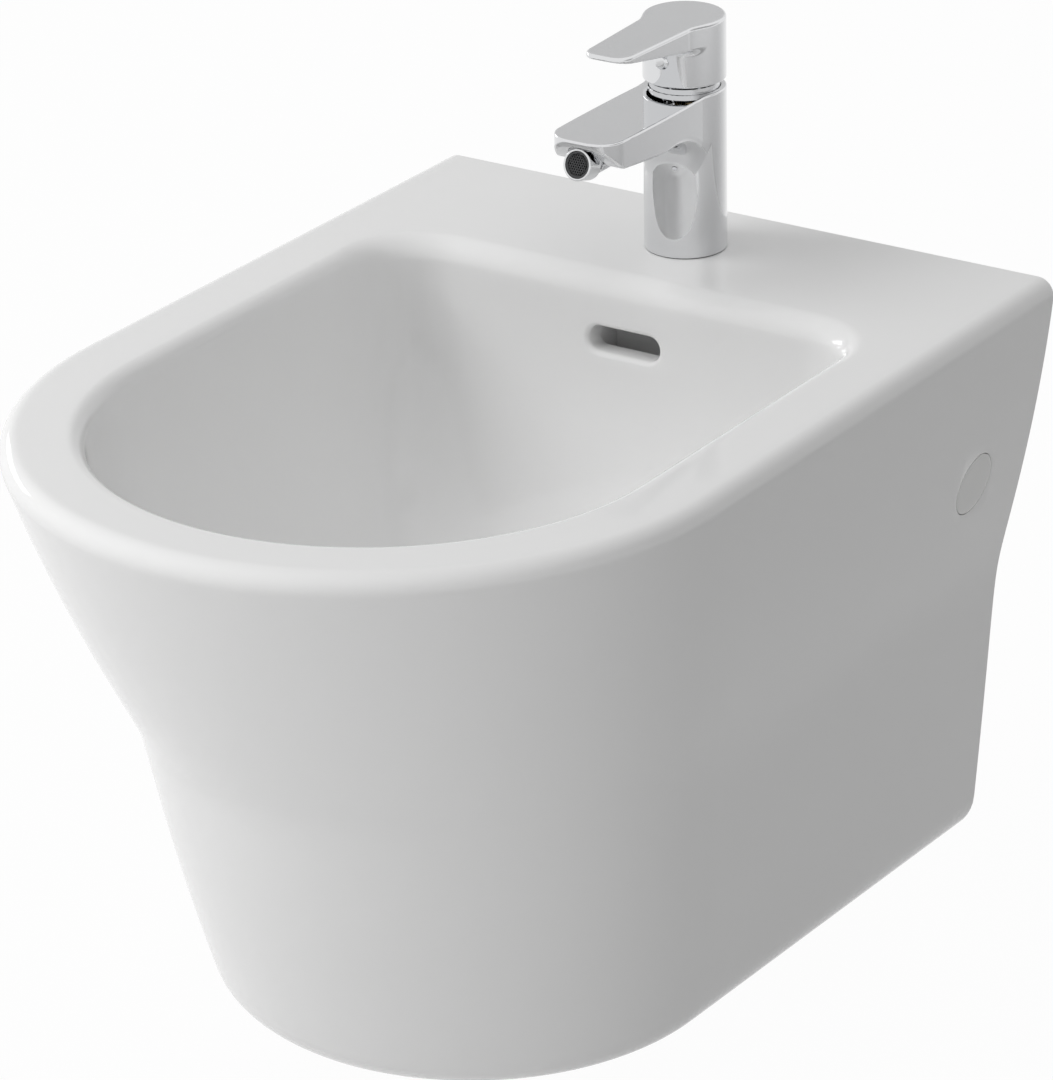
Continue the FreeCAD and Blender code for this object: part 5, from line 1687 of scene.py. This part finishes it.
def soft_edges(tree, shader):
    """Fade a card out from its middle to its edges, so that no mirrored edge is hard."""
    place = add_node(tree, "ShaderNodeTexCoord")
    split = add_node(tree, "ShaderNodeSeparateXYZ")
    both = add_node(tree, "ShaderNodeMath", operation="MULTIPLY")
    clear = add_node(tree, "ShaderNodeBsdfTransparent")
    mix = add_node(tree, "ShaderNodeMixShader")
    tree.links.new(place.outputs["Generated"], split.inputs[0])
    for index, axis in enumerate("XY"):
        fold = add_node(tree, "ShaderNodeMath", operation="PINGPONG")
        fold.inputs[1].default_value = 0.5
        fade = add_node(tree, "ShaderNodeMapRange", interpolation_type="SMOOTHSTEP")
        fade.inputs["From Max"].default_value = 0.5
        tree.links.new(split.outputs[axis], fold.inputs[0])
        tree.links.new(fold.outputs[0], fade.inputs["Value"])
        tree.links.new(fade.outputs["Result"], both.inputs[index])
    tree.links.new(both.outputs[0], mix.inputs[0])
    tree.links.new(clear.outputs[0], mix.inputs[1])
    tree.links.new(shader.outputs[0], mix.inputs[2])
    tree.links.new(mix.outputs[0], tree.nodes["Material Output"].inputs["Surface"])


def add_card(name, level, size, place, target=MIDDLE):
    """Card out of the picture that glows grey at its level: a painted reflection that the chrome mirrors, and
    a faint light.
    """
    mesh = flat_mesh(name, size[0] / 2, size[1] / 2, 0.0)
    card = bpy.data.objects.new(name, mesh)
    aim(card, place, target)
    card.visible_camera = False
    card.visible_shadow = False
    relief = (20.0, 400.0, 0.05, 0.0002)
    # The card glows at its level: a painted grey reflection in the chrome and glaze, not a card lit by the
    # lamps.
    material = finish(f"{name}_paper", (0.2, 0.2, 0.2), 0.1, (0.7, 0.8), PLAIN, relief)
    shader = material.node_tree.nodes["Principled BSDF"]
    shader.inputs["Emission Color"].default_value = WHITE
    shader.inputs["Emission Strength"].default_value = level
    soft_edges(material.node_tree, shader)
    mesh.materials.append(material)


class BIDET_OT_stage(Operator):
    """Set the floor, the soft light and the camera"""

    bl_idname = "bidet.stage"
    bl_label = "Stage"

    def execute(self, context):
        settings = context.scene.bidet.stage
        floor_level = RIM_Z * MM - settings.floor_drop
        self.floor(settings, floor_level)
        self.world(context.scene, settings)
        for label, size, place, mirrored in LIGHTS:
            lamp = add_light(f"{label}_light", getattr(settings, label), size, place)
            lamp.visible_glossy = mirrored
        for card in CARDS:
            add_card(*card)
        place = (*FLOOR_CARD_AT, floor_level + FLOOR_CARD_LIFT)
        add_card("floor_card", FLOOR_CARD, FLOOR_CARD_SIZE, place, (*FLOOR_CARD_AT, 1.0))
        self.camera(context.scene)
        context.scene.view_settings.view_transform = "Standard"
        return {"FINISHED"}

    def floor(self, settings, level):
        """Pale floor that looks white and keeps a trace of the shadow."""
        mesh = flat_mesh("floor", HALF_FLOOR, HALF_FLOOR, level)
        floor = bpy.data.objects.new("floor", mesh)
        bpy.context.scene.collection.objects.link(floor)
        relief = (3.0, 200.0, 0.05, 0.0005)
        tint = tuple(settings.floor_tint)
        material = finish("floor_paint", tint, 0.02, (0.6, 0.75), PLAIN, relief, (2.0, 4.0))
        tree = material.node_tree
        plain = tree.nodes["Principled BSDF"]
        white = add_node(tree, "ShaderNodeEmission")
        mix = camera_white(tree, plain, white, settings.whiteness)
        tree.links.new(mix.outputs[0], tree.nodes["Material Output"].inputs["Surface"])
        mesh.materials.append(material)

    def world(self, scene, settings):
        """White surroundings that light the bidet more softly than they look."""
        world = bpy.data.worlds.new("studio")
        world.use_nodes = True
        tree = world.node_tree
        plain = tree.nodes["Background"]
        plain.inputs["Color"].default_value = WHITE
        plain.inputs["Strength"].default_value = settings.ambient
        white = add_node(tree, "ShaderNodeBackground")
        white.inputs["Color"].default_value = WHITE
        mix = camera_white(tree, plain, white, 1.0)
        tree.links.new(mix.outputs[0], tree.nodes["World Output"].inputs["Surface"])
        scene.world = world

    def camera(self, scene):
        """Camera that looks down at the bidet from the front right."""
        level = math.cos(CAMERA_PITCH)
        east, north = math.cos(CAMERA_HEADING), math.sin(CAMERA_HEADING)
        ahead = Vector((level * east, level * north, math.sin(CAMERA_PITCH)))
        right = Vector((north, -east, 0.0))
        above = right.cross(ahead)
        across = right * math.cos(CAMERA_LEAN) + above * math.sin(CAMERA_LEAN)
        upward = above * math.cos(CAMERA_LEAN) - right * math.sin(CAMERA_LEAN)
        turn = Matrix((across, upward, -ahead)).transposed().to_4x4()
        lens = bpy.data.cameras.new("camera")
        lens.lens = CAMERA_LENS
        lens.sensor_width = CAMERA_SENSOR
        lens.clip_end = CAMERA_RANGE
        camera = bpy.data.objects.new("camera", lens)
        camera.matrix_world = Matrix.Translation(CAMERA_AT) @ turn
        scene.collection.objects.link(camera)
        scene.camera = camera


OPERATORS = (
    BIDET_OT_ceramic,
    BIDET_OT_side_caps,
    BIDET_OT_mixer_body,
    BIDET_OT_lever,
    BIDET_OT_nozzle,
    BIDET_OT_plug,
    BIDET_OT_fittings,
    BIDET_OT_stage,
)


class BIDET_PT_panel(Panel):
    """Steps that build the bidet, with their settings"""

    bl_idname = "BIDET_PT_panel"
    bl_label = "Bidet"
    bl_space_type = "VIEW_3D"
    bl_region_type = "UI"
    bl_category = "Bidet"

    def draw(self, context):
        settings = context.scene.bidet
        for label in ("bowl", "mixer", "stage"):
            box = self.layout.box()
            box.label(text=label.capitalize())
            group = getattr(settings, label)
            for name in type(group).__annotations__:
                box.prop(group, name)
        for step in OPERATORS:
            self.layout.operator(step.bl_idname)


CLASSES = (BowlSettings, MixerSettings, StageSettings, BidetSettings, *OPERATORS, BIDET_PT_panel)


def register():
    for item in CLASSES:
        bpy.utils.register_class(item)
    bpy.types.Scene.bidet = PointerProperty(type=BidetSettings)


def unregister():
    del bpy.types.Scene.bidet
    for item in reversed(CLASSES):
        bpy.utils.unregister_class(item)


def main():
    """Build the pieces and the stage."""
    register()
    bpy.ops.bidet.ceramic()
    bpy.ops.bidet.side_caps()
    bpy.ops.bidet.mixer_body()
    bpy.ops.bidet.lever()
    bpy.ops.bidet.nozzle()
    bpy.ops.bidet.plug()
    bpy.ops.bidet.fittings()
    bpy.ops.bidet.stage()


if __name__ == "__main__":
    main()
